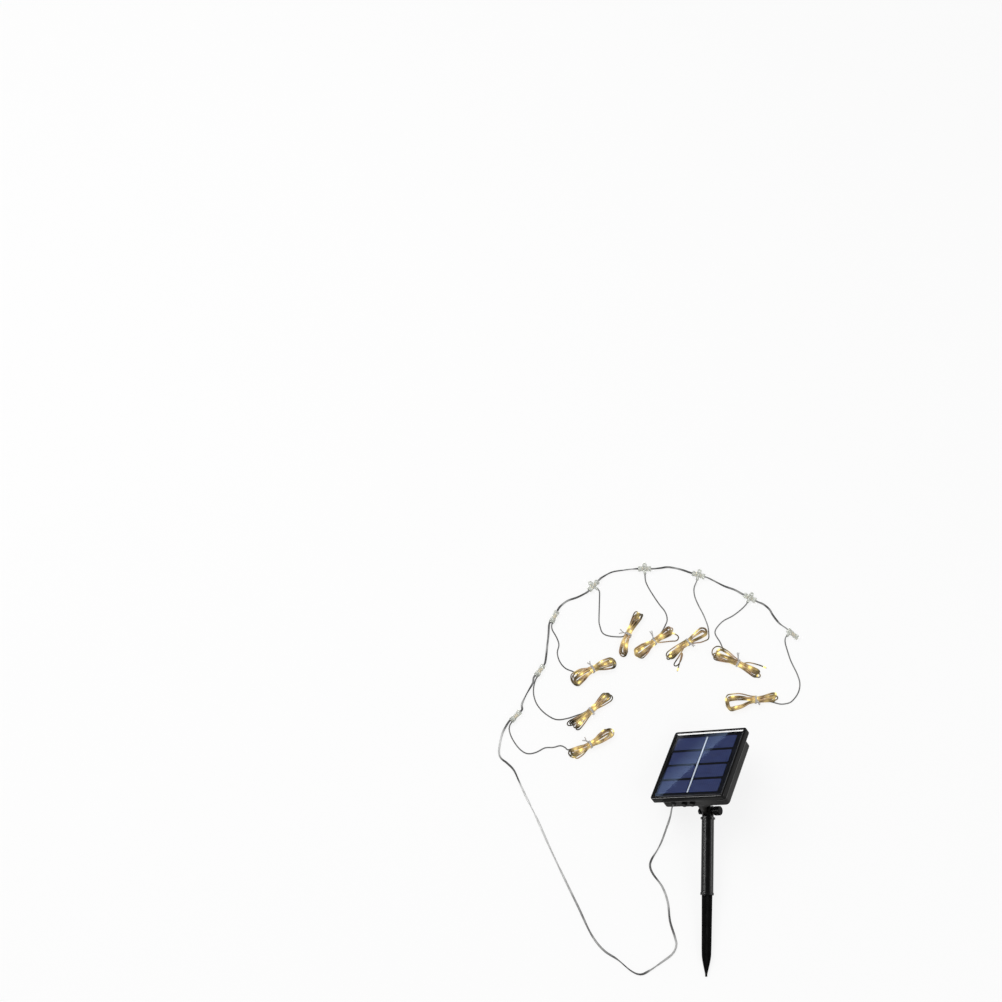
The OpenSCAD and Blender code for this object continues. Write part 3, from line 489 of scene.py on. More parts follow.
# Routes of the cords in mm; a point without a height lies on the surface
LEAD_ROUTE = [
    (-37, 38, 40), (-39, 30, 34), (-41, 24, 24), (-43, 18, 13), (-46, 10, 4), (-51, 0), (-58, -12),
    (-60, -21), (-56, -31), (-44, -47), (-37, -66), (-34, -90), (-28, -109), (-26, -120), (-31, -131),
    (-46, -143), (-60, -153), (-71, -158), (-83, -154), (-100, -141), (-118, -130), (-134, -111),
    (-151, -78), (-170, -42), (-190, -3), (-209, 36), (-223, 62), (-233, 82), (-241, 98), (-250, 107),
    (-259, 114), (-262, 122), (-261, 136), (-258, 150, 1.8)]
# Where the clear jacket shows its dark core along the lead: share of the length, darkness
LEAD_TONES = [
    (0, 0.6), (0.12, 0.55), (0.135, 1), (0.176, 1), (0.19, 0.4), (0.235, 0.4), (0.245, 1),
    (0.285, 1), (0.3, 0.25), (0.38, 0.4), (0.39, 1), (0.42, 0.95), (0.48, 0.75), (0.5, 0.45),
    (0.53, 0.8), (0.58, 0.7), (0.62, 0.4), (0.68, 0.12), (0.82, 0), (0.845, 0.1), (0.855, 1),
    (0.91, 1), (0.925, 0.1), (0.965, 0.1), (0.98, 1), (1, 1)]
RING_ROUTES = [
    [(-234, 191, 1.6), (-228, 206), (-221, 220, 2)], [(-204, 260, 1.8), (-203, 276), (-202, 291, 1.6)],
    [(-186, 335, 1.8), (-177, 343), (-163, 349, 1.8)], [(-129, 381, 1.8), (-116, 389), (-98, 393, 1.6)],
    [(-49, 398, 1.8), (-37, 400), (-20, 397, 1.8)], [(26, 382, 1.8), (40, 375), (54, 370, 1.8)],
    [(94, 350, 1.8), (102, 343), (107, 334), (115, 323, 2)]]
STRAND_ROUTES = [
    [(-250, 155, 1.4), (-246, 143), (-236, 129), (-225, 122), (-213, 124), (-201, 131), (-190, 132),
     (-180, 135), (-172, 131)],
    [(-219, 218, 1.4), (-219, 205), (-214, 191), (-203, 179), (-188, 171), (-173, 173), (-160, 178, 1),
     (-150, 182, 2)],
    [(-197, 299, 1.4), (-191, 289), (-187, 278), (-189, 266), (-185, 253), (-177, 244), (-167, 240, 1)],
    [(-133, 350, 1.4), (-133, 333), (-133, 315), (-132, 309), (-128, 298), (-120, 294), (-107, 293, 1),
     (-98, 294, 2)],
    [(-69, 376, 1.4), (-63, 364), (-51, 345), (-42, 333), (-39, 321), (-43, 310)],
    [(-2, 370, 1.4), (-1, 358), (4, 345), (10, 333), (14, 323, 1), (17, 314, 0.9)],
    [(63, 341, 1.4), (51, 331), (38, 323), (29, 312.5), (26.5, 305.5), (29, 299), (33.5, 291.5, 1.4)],
    [(122.5, 295, 1.4), (125.5, 283), (130, 268), (137.5, 251), (141, 237), (138, 223), (129, 210.8),
     (121.5, 207.5), (113.8, 206.5), (106.5, 208, 1)]]
# Height of a cable's and of a strand's middle where it lies on the surface
CABLE_Z, STRAND_Z = 1.5, 0.8
# Hanks: x, y, direction, reach to the left and right fold, mirrored, first step
HANKS = [(-141, 137, 211, 36, 32, -1, 5), (-141, 184, 47, 36, 36, -1, -1), (-140, 243, 27, 33, 33, -1, -1),
         (-93, 295, 69, 32, 38, -1, -1), (-57, 287, 39, 34, 32, 1, 6), (-11, 288, 36, 37, 33, -1, 4),
         (57, 261, -24, 37, 34, -1, -2), (80, 210, 9, 42, 32, -1, 5)]
TURN_STEP, LAYER_STEP, FOLD_R, WAIST_R = 2.25, 2.1, 4.5, 1.3
TIE_T, EASE = 0.8, 0.15
HANK_Z = TIE_T + EASE + STRAND_D / 2
# A turn goes out to the right fold and back in half its steps, then to the left one
STEPS, LAYERS, APEX, SPREAD = 14, 4, 3.5, 0.3
HALF_TURN = STEPS // 2
FOLD_FROM, FOLD_TO, FOLD_DEGREES, MID_SHARE = 2, 5, 45, 0.55
# Each layer has this many turns, and half a turn more in which the wire climbs to the next
TURNS, CLIMB_REST = 1.5, 2
WOUND = TURNS * STEPS
LAYER_STEPS = WOUND + HALF_TURN
WIDEST = TURNS * TURN_STEP
LEAD_IN = 1.2 * STRAND_D
# Steps between the points of the wound wire, and a hair, so that the last step counts too
WIRE_STEP, HAIR = 0.25, 0.01


def at_junction(i, v):
    x, y, degrees, _ = JUNCTIONS[i]
    dx, dy = rotated(v[0], v[1], math.radians(degrees))
    return np.array((x + dx, y + dy, v[2]))


def port_in(i, out):
    aside = SPLIT_Y - SPLIT_EASE if JUNCTIONS[i][3] == SLIM else 0
    return at_junction(i, (-JUNCTION_L / 2 - out, aside, LIP_R))


def port_out(i, out):
    return at_junction(i, (JUNCTION_L / 2 + out, 0, LIP_R))


def port_strand(i, out):
    kind = JUNCTIONS[i][3]
    if kind == SLIM:
        return at_junction(i, (-JUNCTION_L / 2 - out, -SPLIT_Y, LIP_R))
    return at_junction(i, (END_NECK_X if kind == END else 0, -NECK_REACH - out, LIP_R))


def laid(points, height):
    """Gives a height to the points of a route that have none."""
    return [(*p, height)[:3] for p in points]


def spline(points, gap):
    """The same smooth curve as in the part's source, sampled about every gap mm."""
    p = np.array(points, float)
    out = []
    for i in range(len(p) - 1):
        a, b, c, e = p[max(0, i - 1)], p[i], p[i + 1], p[min(len(p) - 1, i + 2)]
        n = max(1, round(np.linalg.norm(c - b) / gap))
        for k in range(n):
            t = k / n
            out.append(0.5 * (2 * b + (c - a) * t + (2 * a - 5 * b + 4 * c - e) * t ** 2
                              + (3 * b - a - 3 * c + e) * t ** 3))
    out.append(p[-1])
    return np.array(out)


def length_of(path):
    return float(np.linalg.norm(np.diff(path, axis=0), axis=1).sum())


# From this rise on a wire counts as upright
STEEP = 0.9


def frames_along(path):
    """Way, side and up at each point, with up kept near the world's."""
    t = np.gradient(path, axis=0)
    t /= np.linalg.norm(t, axis=1)[:, None]
    up = np.tile((0.0, 0.0, 1.0), (len(path), 1))
    up[np.abs(t[:, 2]) > STEEP] = (0, 1, 0)
    side = np.cross(t, up)
    side /= np.linalg.norm(side, axis=1)[:, None]
    return t, side, np.cross(side, t)


def tube(path, section):
    """Rings along a path: section(i) gives the (side, up) offsets in mm at point i."""
    _, side, up = frames_along(path)
    return [[path[i] + a * side[i] + b * up[i] for a, b in section(i)] for i in range(len(path))]


def distance_along(path):
    return np.r_[0, np.cumsum(np.linalg.norm(np.diff(path, axis=0), axis=1))]


# Waves that are added up to a wandering value: their lengths as shares of the longest, their weights
WAVE_SHARES, WAVE_WEIGHTS = np.array((1.0, 0.61, 0.37, 0.23)), np.array((0.42, 0.28, 0.18, 0.12))
WAVE_GAIN = 1.3


def soft_noise(s, seed, wave):
    """Smooth wandering value along a length, mostly from -1 to 1."""
    phases = np.random.default_rng(seed).uniform(0, 2 * math.pi, 4)
    waves = np.sin(2 * math.pi * s[None] / (wave * WAVE_SHARES)[:, None] + phases[:, None])
    return (WAVE_WEIGHTS[:, None] * waves).sum(0) * WAVE_GAIN


# Clear twin cable: radius of a core, its distance from the middle and the thinner waist between both
CABLE_GAP, CABLE_SIDES = 1.6, 12
CORE_R, CORE_APART, CABLE_WAIST = CABLE_D * 0.30, CABLE_D * 0.20, 0.86
# Further than this from the cable's middle its jacket shows the core
CORE_FROM = 1.1
TWIST, TWIST_WAVE = 1.5, 150
# Darkness along the cable, its swing and the length of a wave, without and with given tones
DARK_MEAN, DARK_SWING, DARK_WAVE = 0.86, 0.34, 48
TONE_SWING, TONE_WAVE = 0.12, 22
DARK_SEED = 50
# Tone of the core and of the jacket beside it, where the cable is pale and where it is dark
CORE_TONES, JACKET_TONES = (0.62, 0.035), (0.8, 0.1)
CABLE_TINGE = 0.99


def cable_section():
    """Outline of the flat cable: two round cores side by side, with a waist between them."""
    ring = []
    for c, s in circle(CABLE_SIDES):
        waist = abs(c) < 0.1
        x = c * CORE_R + (0 if waist else math.copysign(CORE_APART, c))
        ring.append((x, s * CORE_R * (CABLE_WAIST if waist else 1)))
    return ring


def twin_cable(name, points, seed, tones=None):
    """Flat clear twin cable, two dark cores side by side, turning slowly about its own length."""
    path = spline(points, CABLE_GAP)
    s = distance_along(path)
    twist = soft_noise(s, seed, TWIST_WAVE) * TWIST
    flat = cable_section()
    if tones is None:
        dark = DARK_MEAN + DARK_SWING * soft_noise(s, seed + DARK_SEED, DARK_WAVE)
    else:
        dark = np.interp(s / s[-1], *zip(*tones)) + TONE_SWING * soft_noise(s, seed + DARK_SEED, TONE_WAVE)
    tint = []
    for d in np.clip(dark, 0, 1):
        for x, _ in flat:
            pale, deep = CORE_TONES if abs(x) > CORE_FROM else JACKET_TONES
            tone = pale * (1 - d) + deep * d
            tint.append((tone, tone, tone * CABLE_TINGE))
    rings = tube(path, lambda i: [rotated(x, y, twist[i]) for x, y in flat])
    obj = piece(name, Shape().sweep(rings), CABLE, sharp=70, tint=tint)
    return obj


def smoothstep(t):
    t = np.clip(t, 0, 1)
    return t * t * (3 - 2 * t)


def hank_local(h, s):
    """The wire of a hank at step s, as in the part's source."""
    layer = max(0, min(LAYERS - 1, math.floor((s - APEX) / LAYER_STEPS)))
    q = s - APEX - layer * LAYER_STEPS
    wind, turned = min(WOUND, q) / WOUND, max(0, q - WOUND) / HALF_TURN
    grown, sign = (wind, 1) if layer % 2 == 1 else (1 - wind, -1)
    o = grown * WIDEST + sign * SPREAD * math.sin(math.pi * min(1, turned))
    level = layer + smoothstep((q - WOUND - CLIMB_REST) / (HALF_TURN - 2 * CLIMB_REST))
    k = s % STEPS
    half, m = (1, k) if k < HALF_TURN else (-1, k - HALF_TURN)
    reach = h[4] if half > 0 else h[3]
    xc, r = reach - FOLD_R - WIDEST - STRAND_D / 2, FOLD_R + o
    if FOLD_FROM < m < FOLD_TO:
        a = math.radians(FOLD_DEGREES * (m - APEX))
        x, y = xc + r * math.cos(a), r * math.sin(a)
    else:
        edge = math.radians(FOLD_DEGREES * (FOLD_TO - APEX))
        ends = [(0, WAIST_R + o), (MID_SHARE * xc, (WAIST_R + FOLD_R) / 2 + o),
                (xc + r * math.cos(edge), r * math.sin(edge))]
        back = m >= FOLD_TO
        away = HALF_TURN - m if back else m
        i = min(1, int(away))
        f = away - i
        x = ends[i][0] * (1 - f) + ends[i + 1][0] * f
        y = (ends[i][1] * (1 - f) + ends[i + 1][1] * f) * (1 if back else -1)
    return np.array((half * x, half * y * h[5], HANK_Z + LAYER_STEP * level))


def hank_path(h):
    """The wound wire in the hank's own frame, with its straight lead-in, and the step at each point."""
    last = LAYERS * LAYER_STEPS - HALF_TURN + 2 * APEX
    first = hank_local(h, h[6])
    along = hank_local(h, h[6] + 2 * WIRE_STEP) - first
    along /= np.linalg.norm(along)
    flat = np.array((along[0], along[1], 0))
    at = np.arange(h[6], last + HAIR, WIRE_STEP)
    wire = [hank_local(h, min(s, last)) for s in at]
    return np.array([first - flat * 2 * LEAD_IN, first - flat * LEAD_IN] + wire), np.r_[at[0], at[0], at]


def hank_world(h, p):
    x, y = rotated(p[:, 0], p[:, 1], math.radians(h[2]))
    return np.c_[h[0] + x, h[1] + y, p[:, 2]]


def rounded(path):
    """Softens corners while keeping the ends."""
    p = path.copy()
    for _ in range(3):
        p[1:-1] = 0.25 * p[:-2] + 0.5 * p[1:-1] + 0.25 * p[2:]
    return p


def resample(path, gap):
    s = distance_along(path)
    want = np.linspace(0, s[-1], int(s[-1] / gap) + 1)
    return np.c_[[np.interp(want, s, path[:, k]) for k in range(3)]].T


# How each hank was wound by hand, for its left and right lobe: width at the fold, fan of the turns
# in degrees, bend of the lobe in degrees, uneven reach, how far the turns fill the middle, painted shade of
# the tip
HANK_LOOKS = [
    ((1.15, 4, 4, 0.05, 0.55, 0.6), (1.4, 5, -3, 0.12, 0.9, 0.9)),
    ((0.50, 11, -4, 0.08, 0.3, 0.9), (0.66, 8, -1, 0.03, 0.3, 0.9)),
    ((1.48, 5, 12, 0.07, 0.75, 0.6), (1.2, 3, -5, 0.05, 0.85, 0.95)),
    ((1.02, 5, 12, 0.05, 0.85, 0.25), (0.72, 7, -5, 0.1, 0.55, 0.95)),
    ((1.36, 3, 0, 0.04, 0.75, 0.5), (0.58, 8, 1, 0.09, 0.3, 0.15)),
    ((0.50, 5, 6, 0.05, 0.3, 0.95), (1.22, 4, 0, 0.05, 0.55, 0.6)),
    ((1.28, 7, 2, 0.1, 0.7, 0.6), (0.54, 7, -3, 0.12, 0.3, 0.85)),
    ((1.9, 2, 3, 0.04, 0.55, 0.6), (0.54, 8, 2, 0.1, 0.2, 0.95))]
# Where a shown turn starts in place of the record's own first step
SHOWN_START = {1: 0.3, 3: 0.4, 6: -1.6, 7: 5.5}
# Hanks whose left lobe parts into two bundles, and the least share of the fan that a turn then takes
SPLIT_LOBES, SPLIT_LEAST = (1,), 0.35
WAIST_SQUEEZE, WIDTH_SWING = 0.64, 0.06
# Share of the reach over which a lobe opens, and how its turns lie flatter and sink towards the fold
OPENING, FLATTER, SINK, SINK_CURVE = 0.55, 0.2, 0.85, 0.7
# The turns' order is shuffled over this many ranks, by one stride for the fan and one for the fill
RANKS, FAN_STRIDE, FILL_STRIDE = 8, 3, 5
HANK_SEED = 11


def loosen(p, steps_at, i):
    """Bends a hank's neat turns into hand-wound ones, each lobe of each turn lying its own way."""
    h, seed = HANKS[i], HANK_SEED + i
    r = np.random.default_rng(seed)
    passes = int(steps_at[-1] // HALF_TURN) + 3
    lean, width, stretch = r.uniform(-1, 1, passes), r.uniform(-1, 1, passes), r.uniform(-1, 1, passes)
    q = p.copy()
    for k in range(len(p)):
        left = p[k, 0] < 0
        full, fan, bend, uneven, fill = HANK_LOOKS[i][0 if left else 1][:5]
        t = min(1.0, abs(p[k, 0]) / (h[3] if left else h[4]))
        j = int(steps_at[k] // HALF_TURN) + 1
        spread = 2 * ((j // 2 * FAN_STRIDE + seed) % RANKS) / (RANKS - 1) - 1
        if left and i in SPLIT_LOBES:
            spread = (SPLIT_LEAST + (1 - SPLIT_LEAST) * abs(spread)) * (1 if spread > 0 else -1)
        ease = float(smoothstep(t / OPENING))
        angle = math.radians(fan * spread + lean[j] + bend * t) * ease
        rank = (j // 2 * FILL_STRIDE + seed) % RANKS
        loop = full * (1 - fill * rank / (RANKS - 1)) * (1 + WIDTH_SWING * width[j])
        x = p[k, 0] * (1 + uneven * stretch[j] * t)
        y = p[k, 1] * (WAIST_SQUEEZE + (loop - WAIST_SQUEEZE) * ease)
        q[k, 0], q[k, 1] = rotated(x, y, angle)
        q[k, 2] = HANK_Z + (p[k, 2] - HANK_Z) * (1 - FLATTER * t) - SINK * t ** SINK_CURVE
    return q


def glow_at(path, lamps, reach):
    """How near each point of a wire is to a lit bead, 0 to 1."""
    d = np.sqrt(((path[:, None, :] - lamps[None, :, :]) ** 2).sum(2)).min(1)
    return np.exp(-(d / reach) ** 2)


# Colours of the wound wire: painted glow near a bead, between beads and what that drifts to, painted shade in
# the folds; the lead's
GLOW_GOLD, OLIVE, TAN, PAINTED_SHADE, GREY = np.array((
    (0.72, 0.54, 0.19), (0.2, 0.15, 0.06), (0.62, 0.4, 0.25), (0.035, 0.032, 0.015), (1.0, 1.0, 0.98)))
# How light each strand lead looks
LEAD_GREY = (0.16, 0.14, 0.14, 0.17, 0.16, 0.26, 0.24, 0.2)
GREY_SWING, GREY_WAVE, GREY_SEED = 0.3, 60, 400
TAN_WAVE, TAN_SEED = 46, 300
GLOW_REACH, COLOUR_RUN = 4.2, 8
# A lobe's half width, and where painted shade darkens it towards its fold and its sides, from and over what
# share
LOBE_HALF, LOBE_LEAST = 8.6, 5
FOLD_DARK_FROM, FOLD_DARK_OVER = 0.62, 0.26
SIDE_DARK_FROM, SIDE_DARK_OVER, SIDE_DARK, SIDE_DARK_OUT = 0.55, 0.3, 0.8, 0.25
# How much a bead lights up the dark folds and sides, the deepest shade, and how far it dims the glow
FOLD_LIT, SIDE_LIT, SHADE_MOST, GLOW_SHADED = 0.55, 0.6, 0.95, 0.75


def strand_tint(path, s, start, i, lamps):
    """Grey before the hank; in it a painted glow of gold near the beads, olive between them and painted shade
    at the folds and sides.
    """
    h, (left, right) = HANKS[i], HANK_LOOKS[i]
    x, y = rotated(path[:, 0] - h[0], path[:, 1] - h[1], math.radians(-h[2]))
    out = np.abs(x) / np.where(x < 0, h[3], h[4])
    across = np.abs(y) / np.maximum(LOBE_HALF * np.where(x < 0, left[0], right[0]), LOBE_LEAST)
    # Painted shade towards the folds and along the lobe's sides, lifted where the painted glow of a bead
    # falls
    fold = np.clip((out - FOLD_DARK_FROM) / FOLD_DARK_OVER, 0, 1) * np.where(x < 0, left[5], right[5])
    sides = np.clip((across - SIDE_DARK_FROM) / SIDE_DARK_OVER, 0, 1) * np.clip(out - SIDE_DARK_OUT, 0, 1)
    near = glow_at(path, lamps, GLOW_REACH)
    shade = np.clip(fold * (1 - FOLD_LIT * near) + SIDE_DARK * sides * (1 - SIDE_LIT * near), 0, SHADE_MOST)
    wander = 0.5 + 0.5 * soft_noise(s, int(h[2]) + TAN_SEED, TAN_WAVE)
    colour = OLIVE + (TAN - OLIVE) * wander[:, None]
    # Painted glow near the beads, then painted shade in the folds and along the sides
    colour = colour + (GLOW_GOLD - colour) * near[:, None]
    colour = colour + (PAINTED_SHADE - colour) * shade[:, None]
    drift = 1 + GREY_SWING * soft_noise(s, int(h[2]) + GREY_SEED, GREY_WAVE)
    wound = np.clip((s - start) / COLOUR_RUN, 0, 1)
    colour = LEAD_GREY[i] * drift[:, None] * GREY * (1 - wound[:, None]) + colour * wound[:, None]
    # The fourth part is the strength of the painted glow, which the jacket's material emits
    return np.c_[colour, near * wound * (1 - GLOW_SHADED * shade)]


# A tie's half width at its edges and middle, and the corners of its outside and inside
TIE_HALF, TIE_BULGE, TIE_OUTER_R, TIE_INNER_R, TIE_POINTS = 1.3, 1.5, 2.6, 1.9, 8
# Ties: direction of the two ends on the surface in degrees, their length, and how far apart they point
TIE_ENDS = [(148, 9, 30), (-60, 5, 20), (128, 8, 24), (168, 10, 30),
            (112, 11, 12), (-42, 8, 16), (92, 10, 10), (-62, 7, 10)]
# The ends: share of the band where they start, share up to their bend, rise there and at the tip, taper
TAIL_FROM, TAIL_BEND, KNEE_RISE, TIP_RISE, TAIL_TAPER = 0.75, 0.35, 1.4, 2.6, 0.3
TAIL_GAP, TAIL_SIDES = 0.9, 8


def tie_piece(i):
    """Clear band round a hank's waist, with its two twisted ends lying out to one side."""
    h = HANKS[i]
    inner = (WAIST_R + WIDEST + SPREAD) * WAIST_SQUEEZE + STRAND_D / 2 + EASE
    outer = inner + TIE_T
    high = (LAYERS - 1) * LAYER_STEP + STRAND_D + 2 * EASE
    middle = high / 2 + TIE_T
    rings = []
    for sx, sy, c, s in corner_arcs(TIE_POINTS):
        oy = sx * (outer - TIE_OUTER_R) + TIE_OUTER_R * c
        oz = middle + sy * (middle - TIE_OUTER_R) + TIE_OUTER_R * s
        iy = sx * (inner - TIE_INNER_R) + TIE_INNER_R * c
        iz = middle + sy * (high / 2 - TIE_INNER_R) + TIE_INNER_R * s
        my, mz = (iy + oy) / 2, (iz + oz) / 2
        rings.append([(-TIE_HALF, iy, iz), (TIE_HALF, iy, iz), (TIE_BULGE, my, mz),
                      (TIE_HALF, oy, oz), (-TIE_HALF, oy, oz), (-TIE_BULGE, my, mz)])
    shape = Shape().sweep(rings, closed=True)
    toward, far, apart = TIE_ENDS[i]
    for side in (-1, 1):
        way = np.array(rotated(1, 0, math.radians(toward - h[2])))
        end_way = np.array(rotated(1, 0, math.radians(toward + side * apart - h[2])))
        base = way * inner * TAIL_FROM
        knee = base + way * far * TAIL_BEND
        tip = knee + end_way * far * (1 - TAIL_BEND)
        bends = [(*base, high + TIE_T * KNEE_RISE), (*knee, high + KNEE_RISE), (*tip, high + TIP_RISE)]
        tail = spline(bends, TAIL_GAP)
        thin = [1 - TAIL_TAPER * j / len(tail) for j in range(len(tail))]
        shape.sweep(tube(tail, lambda j: [(thin[j] * c, thin[j] * s) for c, s in circle(TAIL_SIDES)]))
    place = Matrix.Translation(Vector((h[0], h[1], 0)) * MM) @ turn("Z", h[2])
    return piece(f"tie_{i + 1}", shape, TIE_CLEAR, place)


# Loose ends and single turns that hang out of some hanks: points in mm
LOOSE = {
    4: [(-53, 288, 7), (-44, 296, 6), (-36, 301, 4), (-30, 301, 2), (-25, 299, 1), (-23, 296, 0.8),
        (-26, 291, 0.9), (-33, 290, 1.4), (-42, 288, 2.6), (-52, 286, 4)],
    5: [(-16, 281, 7.4), (-19, 275, 4), (-23, 268, 1.4), (-28, 260, 0.8), (-30, 256, 0.8),
        (-28, 254, 0.8), (-24, 256, 0.9), (-20, 263, 1.5), (-18, 271, 3.4), (-19, 273, 4.2),
        (-20, 268, 3), (-22, 259, 1.8), (-24, 251, 0.9), (-25, 247, 0.9)],
    6: [(62, 260, 7), (70, 262, 6), (79, 262, 3), (89, 260, 1.2), (96, 257, 0.9)]}
# Beads: how many, sides, and the wire that is left free before the first and after the last
BEADS, BEAD_SIDES, BEAD_FROM, BEAD_STOP = 13, 14, 12, 2
# A bead, turned about X: place along it, radius
BEAD_PROFILE = [(-2.3, 0.35), (-2.0, 0.8), (-1.4, 1.12), (-0.6, 1.25),
                (0.6, 1.25), (1.4, 1.12), (2.0, 0.8), (2.3, 0.35)]
# Strands whose last bead sits on their loose end, this many points before it
END_BEADS, END_BEAD_BACK = (5, 6), 3
WIRE_GAP, SHOWN_GAP, WIRE_SIDES, AHEAD = 1.4, 1.3, 8, 3
# The wire is a little wider than high, and the lead before the hank wider again
WIRE_WIDE, LEAD_WIDER, LEAD_RUN = 1.12, 0.08, 12
ties, bead_pieces = [], []


def strand(i):
    """One strand lead with its hank, as one unbroken wire, and its lit beads."""
    h = HANKS[i]
    own, steps_at = hank_path(h[:6] + (SHOWN_START.get(i, h[6]),))
    wound = hank_world(h, loosen(own, steps_at, i))
    route = [port_strand(i, -INSIDE), port_strand(i, STRAND_RUN)] + laid(STRAND_ROUTES[i], STRAND_Z)
    if i in SHOWN_START:
        wound = wound[2:]
        route.append(wound[0])
    else:
        ahead = (wound[2] - wound[0]) / np.linalg.norm(wound[2] - wound[0])
        route += [wound[0] - AHEAD * ahead, wound[0]]
    lead = spline(route, WIRE_GAP)
    parts = [lead, wound[1:]]
    if i in LOOSE:
        parts.append(spline([wound[-1], *LOOSE[i]], WIRE_GAP)[1:])
    whole = rounded(resample(np.vstack(parts), SHOWN_GAP))
    whole[:, 2] = np.maximum(whole[:, 2], STRAND_D / 2)
    start = length_of(lead)
    s = distance_along(whole)
    lit = s[-1] - start - BEAD_FROM - BEAD_STOP
    spots = [int(np.searchsorted(s, start + BEAD_FROM + lit * (b + 0.5) / BEADS)) for b in range(BEADS)]
    if i in END_BEADS:
        spots[-1] = len(whole) - END_BEAD_BACK
    wide = STRAND_D / 2 * WIRE_WIDE * (1 + LEAD_WIDER * np.clip((start - s) / LEAD_RUN, 0, 1))
    outline = circle(WIRE_SIDES, 0.5)
    rings = tube(whole, lambda k: [(wide[k] * c, STRAND_D / 2 * v) for c, v in outline])
    tint = [tuple(c) for c in strand_tint(whole, s, start, i, whole[spots]) for _ in outline]
    wire = Shape().sweep(rings)
    wire_piece = piece(f"light_strand_{i + 1}", wire, STRAND, sharp=80, tint=tint)
    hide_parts(f"branch_{i + 1}", f"hank_{i + 1}")
    beads = Shape()
    tangent, _, _ = frames_along(whole)
    for k in spots:
        way = Vector(tangent[k]).to_track_quat("X", "Z").to_matrix().to_4x4()
        beads.lathe(BEAD_PROFILE, Matrix.Translation(Vector(whole[k])) @ way, BEAD_SIDES)
    bead_piece = piece(f"beads_{i + 1}", beads, RESIN)
    tie = tie_piece(i)
    ties.append(tie)
    bead_pieces.append(bead_piece)


# Rolled collar, closed dome and sleeve of a junction: distance from its end, distance below its radius
LIP_SHAPE = ((3.0, 0.6), (2.7, 0.15), (2.2, 0), (0.6, 0), (0.15, 0.25), (0, 0.8))
DOME_SHAPE = ((3.0, 0), (1.4, 0.4), (0.4, 1.0), (0, 1.8))
SLEEVE_SHAPE = ((0.3, 0.5), (0.6, 0), (5.4, 0), (5.9, 0.5))
BARREL_R, BARREL_WAIST, COLLAR_L = 3.3, 0.35, 3.3
# Neck, ear and the web between them: profiles of (place, radius), (radius, height) and (across, height)
NECK_PROFILE = [(0, 2.5), (3.2, 2.4), (4.2, 1.95), (6.6, 1.85), (7.0, 1.95), (7.7, 1.95), (8.0, 1.6)]
EAR_PROFILE = [(1.2, -1.1), (1.4, -1.3), (2.6, -1.3), (2.9, -1.0),
               (2.9, 1.0), (2.6, 1.3), (1.4, 1.3), (1.2, 1.1)]
WEB_PROFILE = [(-2.7, -1.2), (-2.9, -0.9), (-2.9, 0.9), (-2.7, 1.2),
               (2.7, 1.2), (2.9, 0.9), (2.9, -0.9), (2.7, -1.2)]
EAR_Y, EAR_SIDES, NECK_SIDES, WEB_FROM, WEB_TO = 5.8, 28, 24, 0.5, 4.3


def lip(x, sign):
    """Profile points of a rolled collar ending at x."""
    return [(x - sign * back, LIP_R - under) for back, under in LIP_SHAPE]


def junction(i):
    """Clear junction moulding: barrel with rolled collars, mould ribs, side neck and hanging ear."""
    x, y, a, kind = JUNCTIONS[i]
    half = JUNCTION_L / 2
    profile = lip(-half, -1)[::-1]
    profile += [(-half + COLLAR_L, BARREL_R), (-1.6, BARREL_R), (-1.2, BARREL_R - BARREL_WAIST),
                (1.2, BARREL_R - BARREL_WAIST), (1.6, BARREL_R), (half - COLLAR_L, BARREL_R)]
    if kind == END:
        profile += [(half - back, LIP_R - under) for back, under in DOME_SHAPE]
    else:
        profile += lip(half, 1)
    shape = Shape().lathe(profile)
    if kind == SLIM:
        shape.lathe([(-half + along, LIP_R - under) for along, under in SLEEVE_SHAPE])
    else:
        neck = Matrix.Translation((END_NECK_X if kind == END else 0, 0, 0)) @ turn("Z", -90)
        shape.lathe(NECK_PROFILE, neck, NECK_SIDES)
    if kind == EARED:
        ring = circle(EAR_SIDES)
        shape.sweep([[(r * c, EAR_Y + r * s, z) for r, z in EAR_PROFILE] for c, s in ring], closed=True)
        shape.sweep([[(px, py, pz) for px, pz in WEB_PROFILE] for py in (WEB_FROM, WEB_TO)])
    place = Matrix.Translation(Vector((x, y, LIP_R)) * MM) @ turn("Z", a)
    obj = piece(f"junction_body_{i + 1}", shape, JUNCTION_CLEAR, place)
    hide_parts(f"junction_{i + 1}")
    return obj


# Mouth of the gland on the head's lower wall, and how far the lead goes into it and straight out of it
GLAND = Vector((-32, -HOUSING_W / 2 - 1.2, -20.2))
LEAD_INSIDE, LEAD_RUN_OUT = 3.2, 6
LEAD_SEED, RING_SEED = 21, 31


def lead_exit(out):
    p = IN_HEAD @ ((GLAND + Vector((0, -out, 0))) * MM)
    return np.array(p) / MM


junctions = [junction(i) for i in range(len(JUNCTIONS))]
lead_route = [lead_exit(-LEAD_INSIDE), lead_exit(0), lead_exit(LEAD_RUN_OUT)] + laid(LEAD_ROUTE, CABLE_Z)
lead_route += [port_in(0, CABLE_RUN), port_in(0, -INSIDE)]
lead = twin_cable("lead_wire", lead_route, LEAD_SEED, LEAD_TONES)
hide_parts("lead_cable")
for i in range(len(RING_ROUTES)):
    ring_route = [port_out(i, -INSIDE), port_out(i, CABLE_RUN)] + laid(RING_ROUTES[i], CABLE_Z)
    ring_route += [port_in(i + 1, CABLE_RUN), port_in(i + 1, -INSIDE)]
    ring = twin_cable(f"ring_wire_{i + 1}", ring_route, RING_SEED + i)
    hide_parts(f"ring_cable_{i + 1}")
for i in range(len(HANKS)):
    strand(i)
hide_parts("led_beads")
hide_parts("strand_ties")


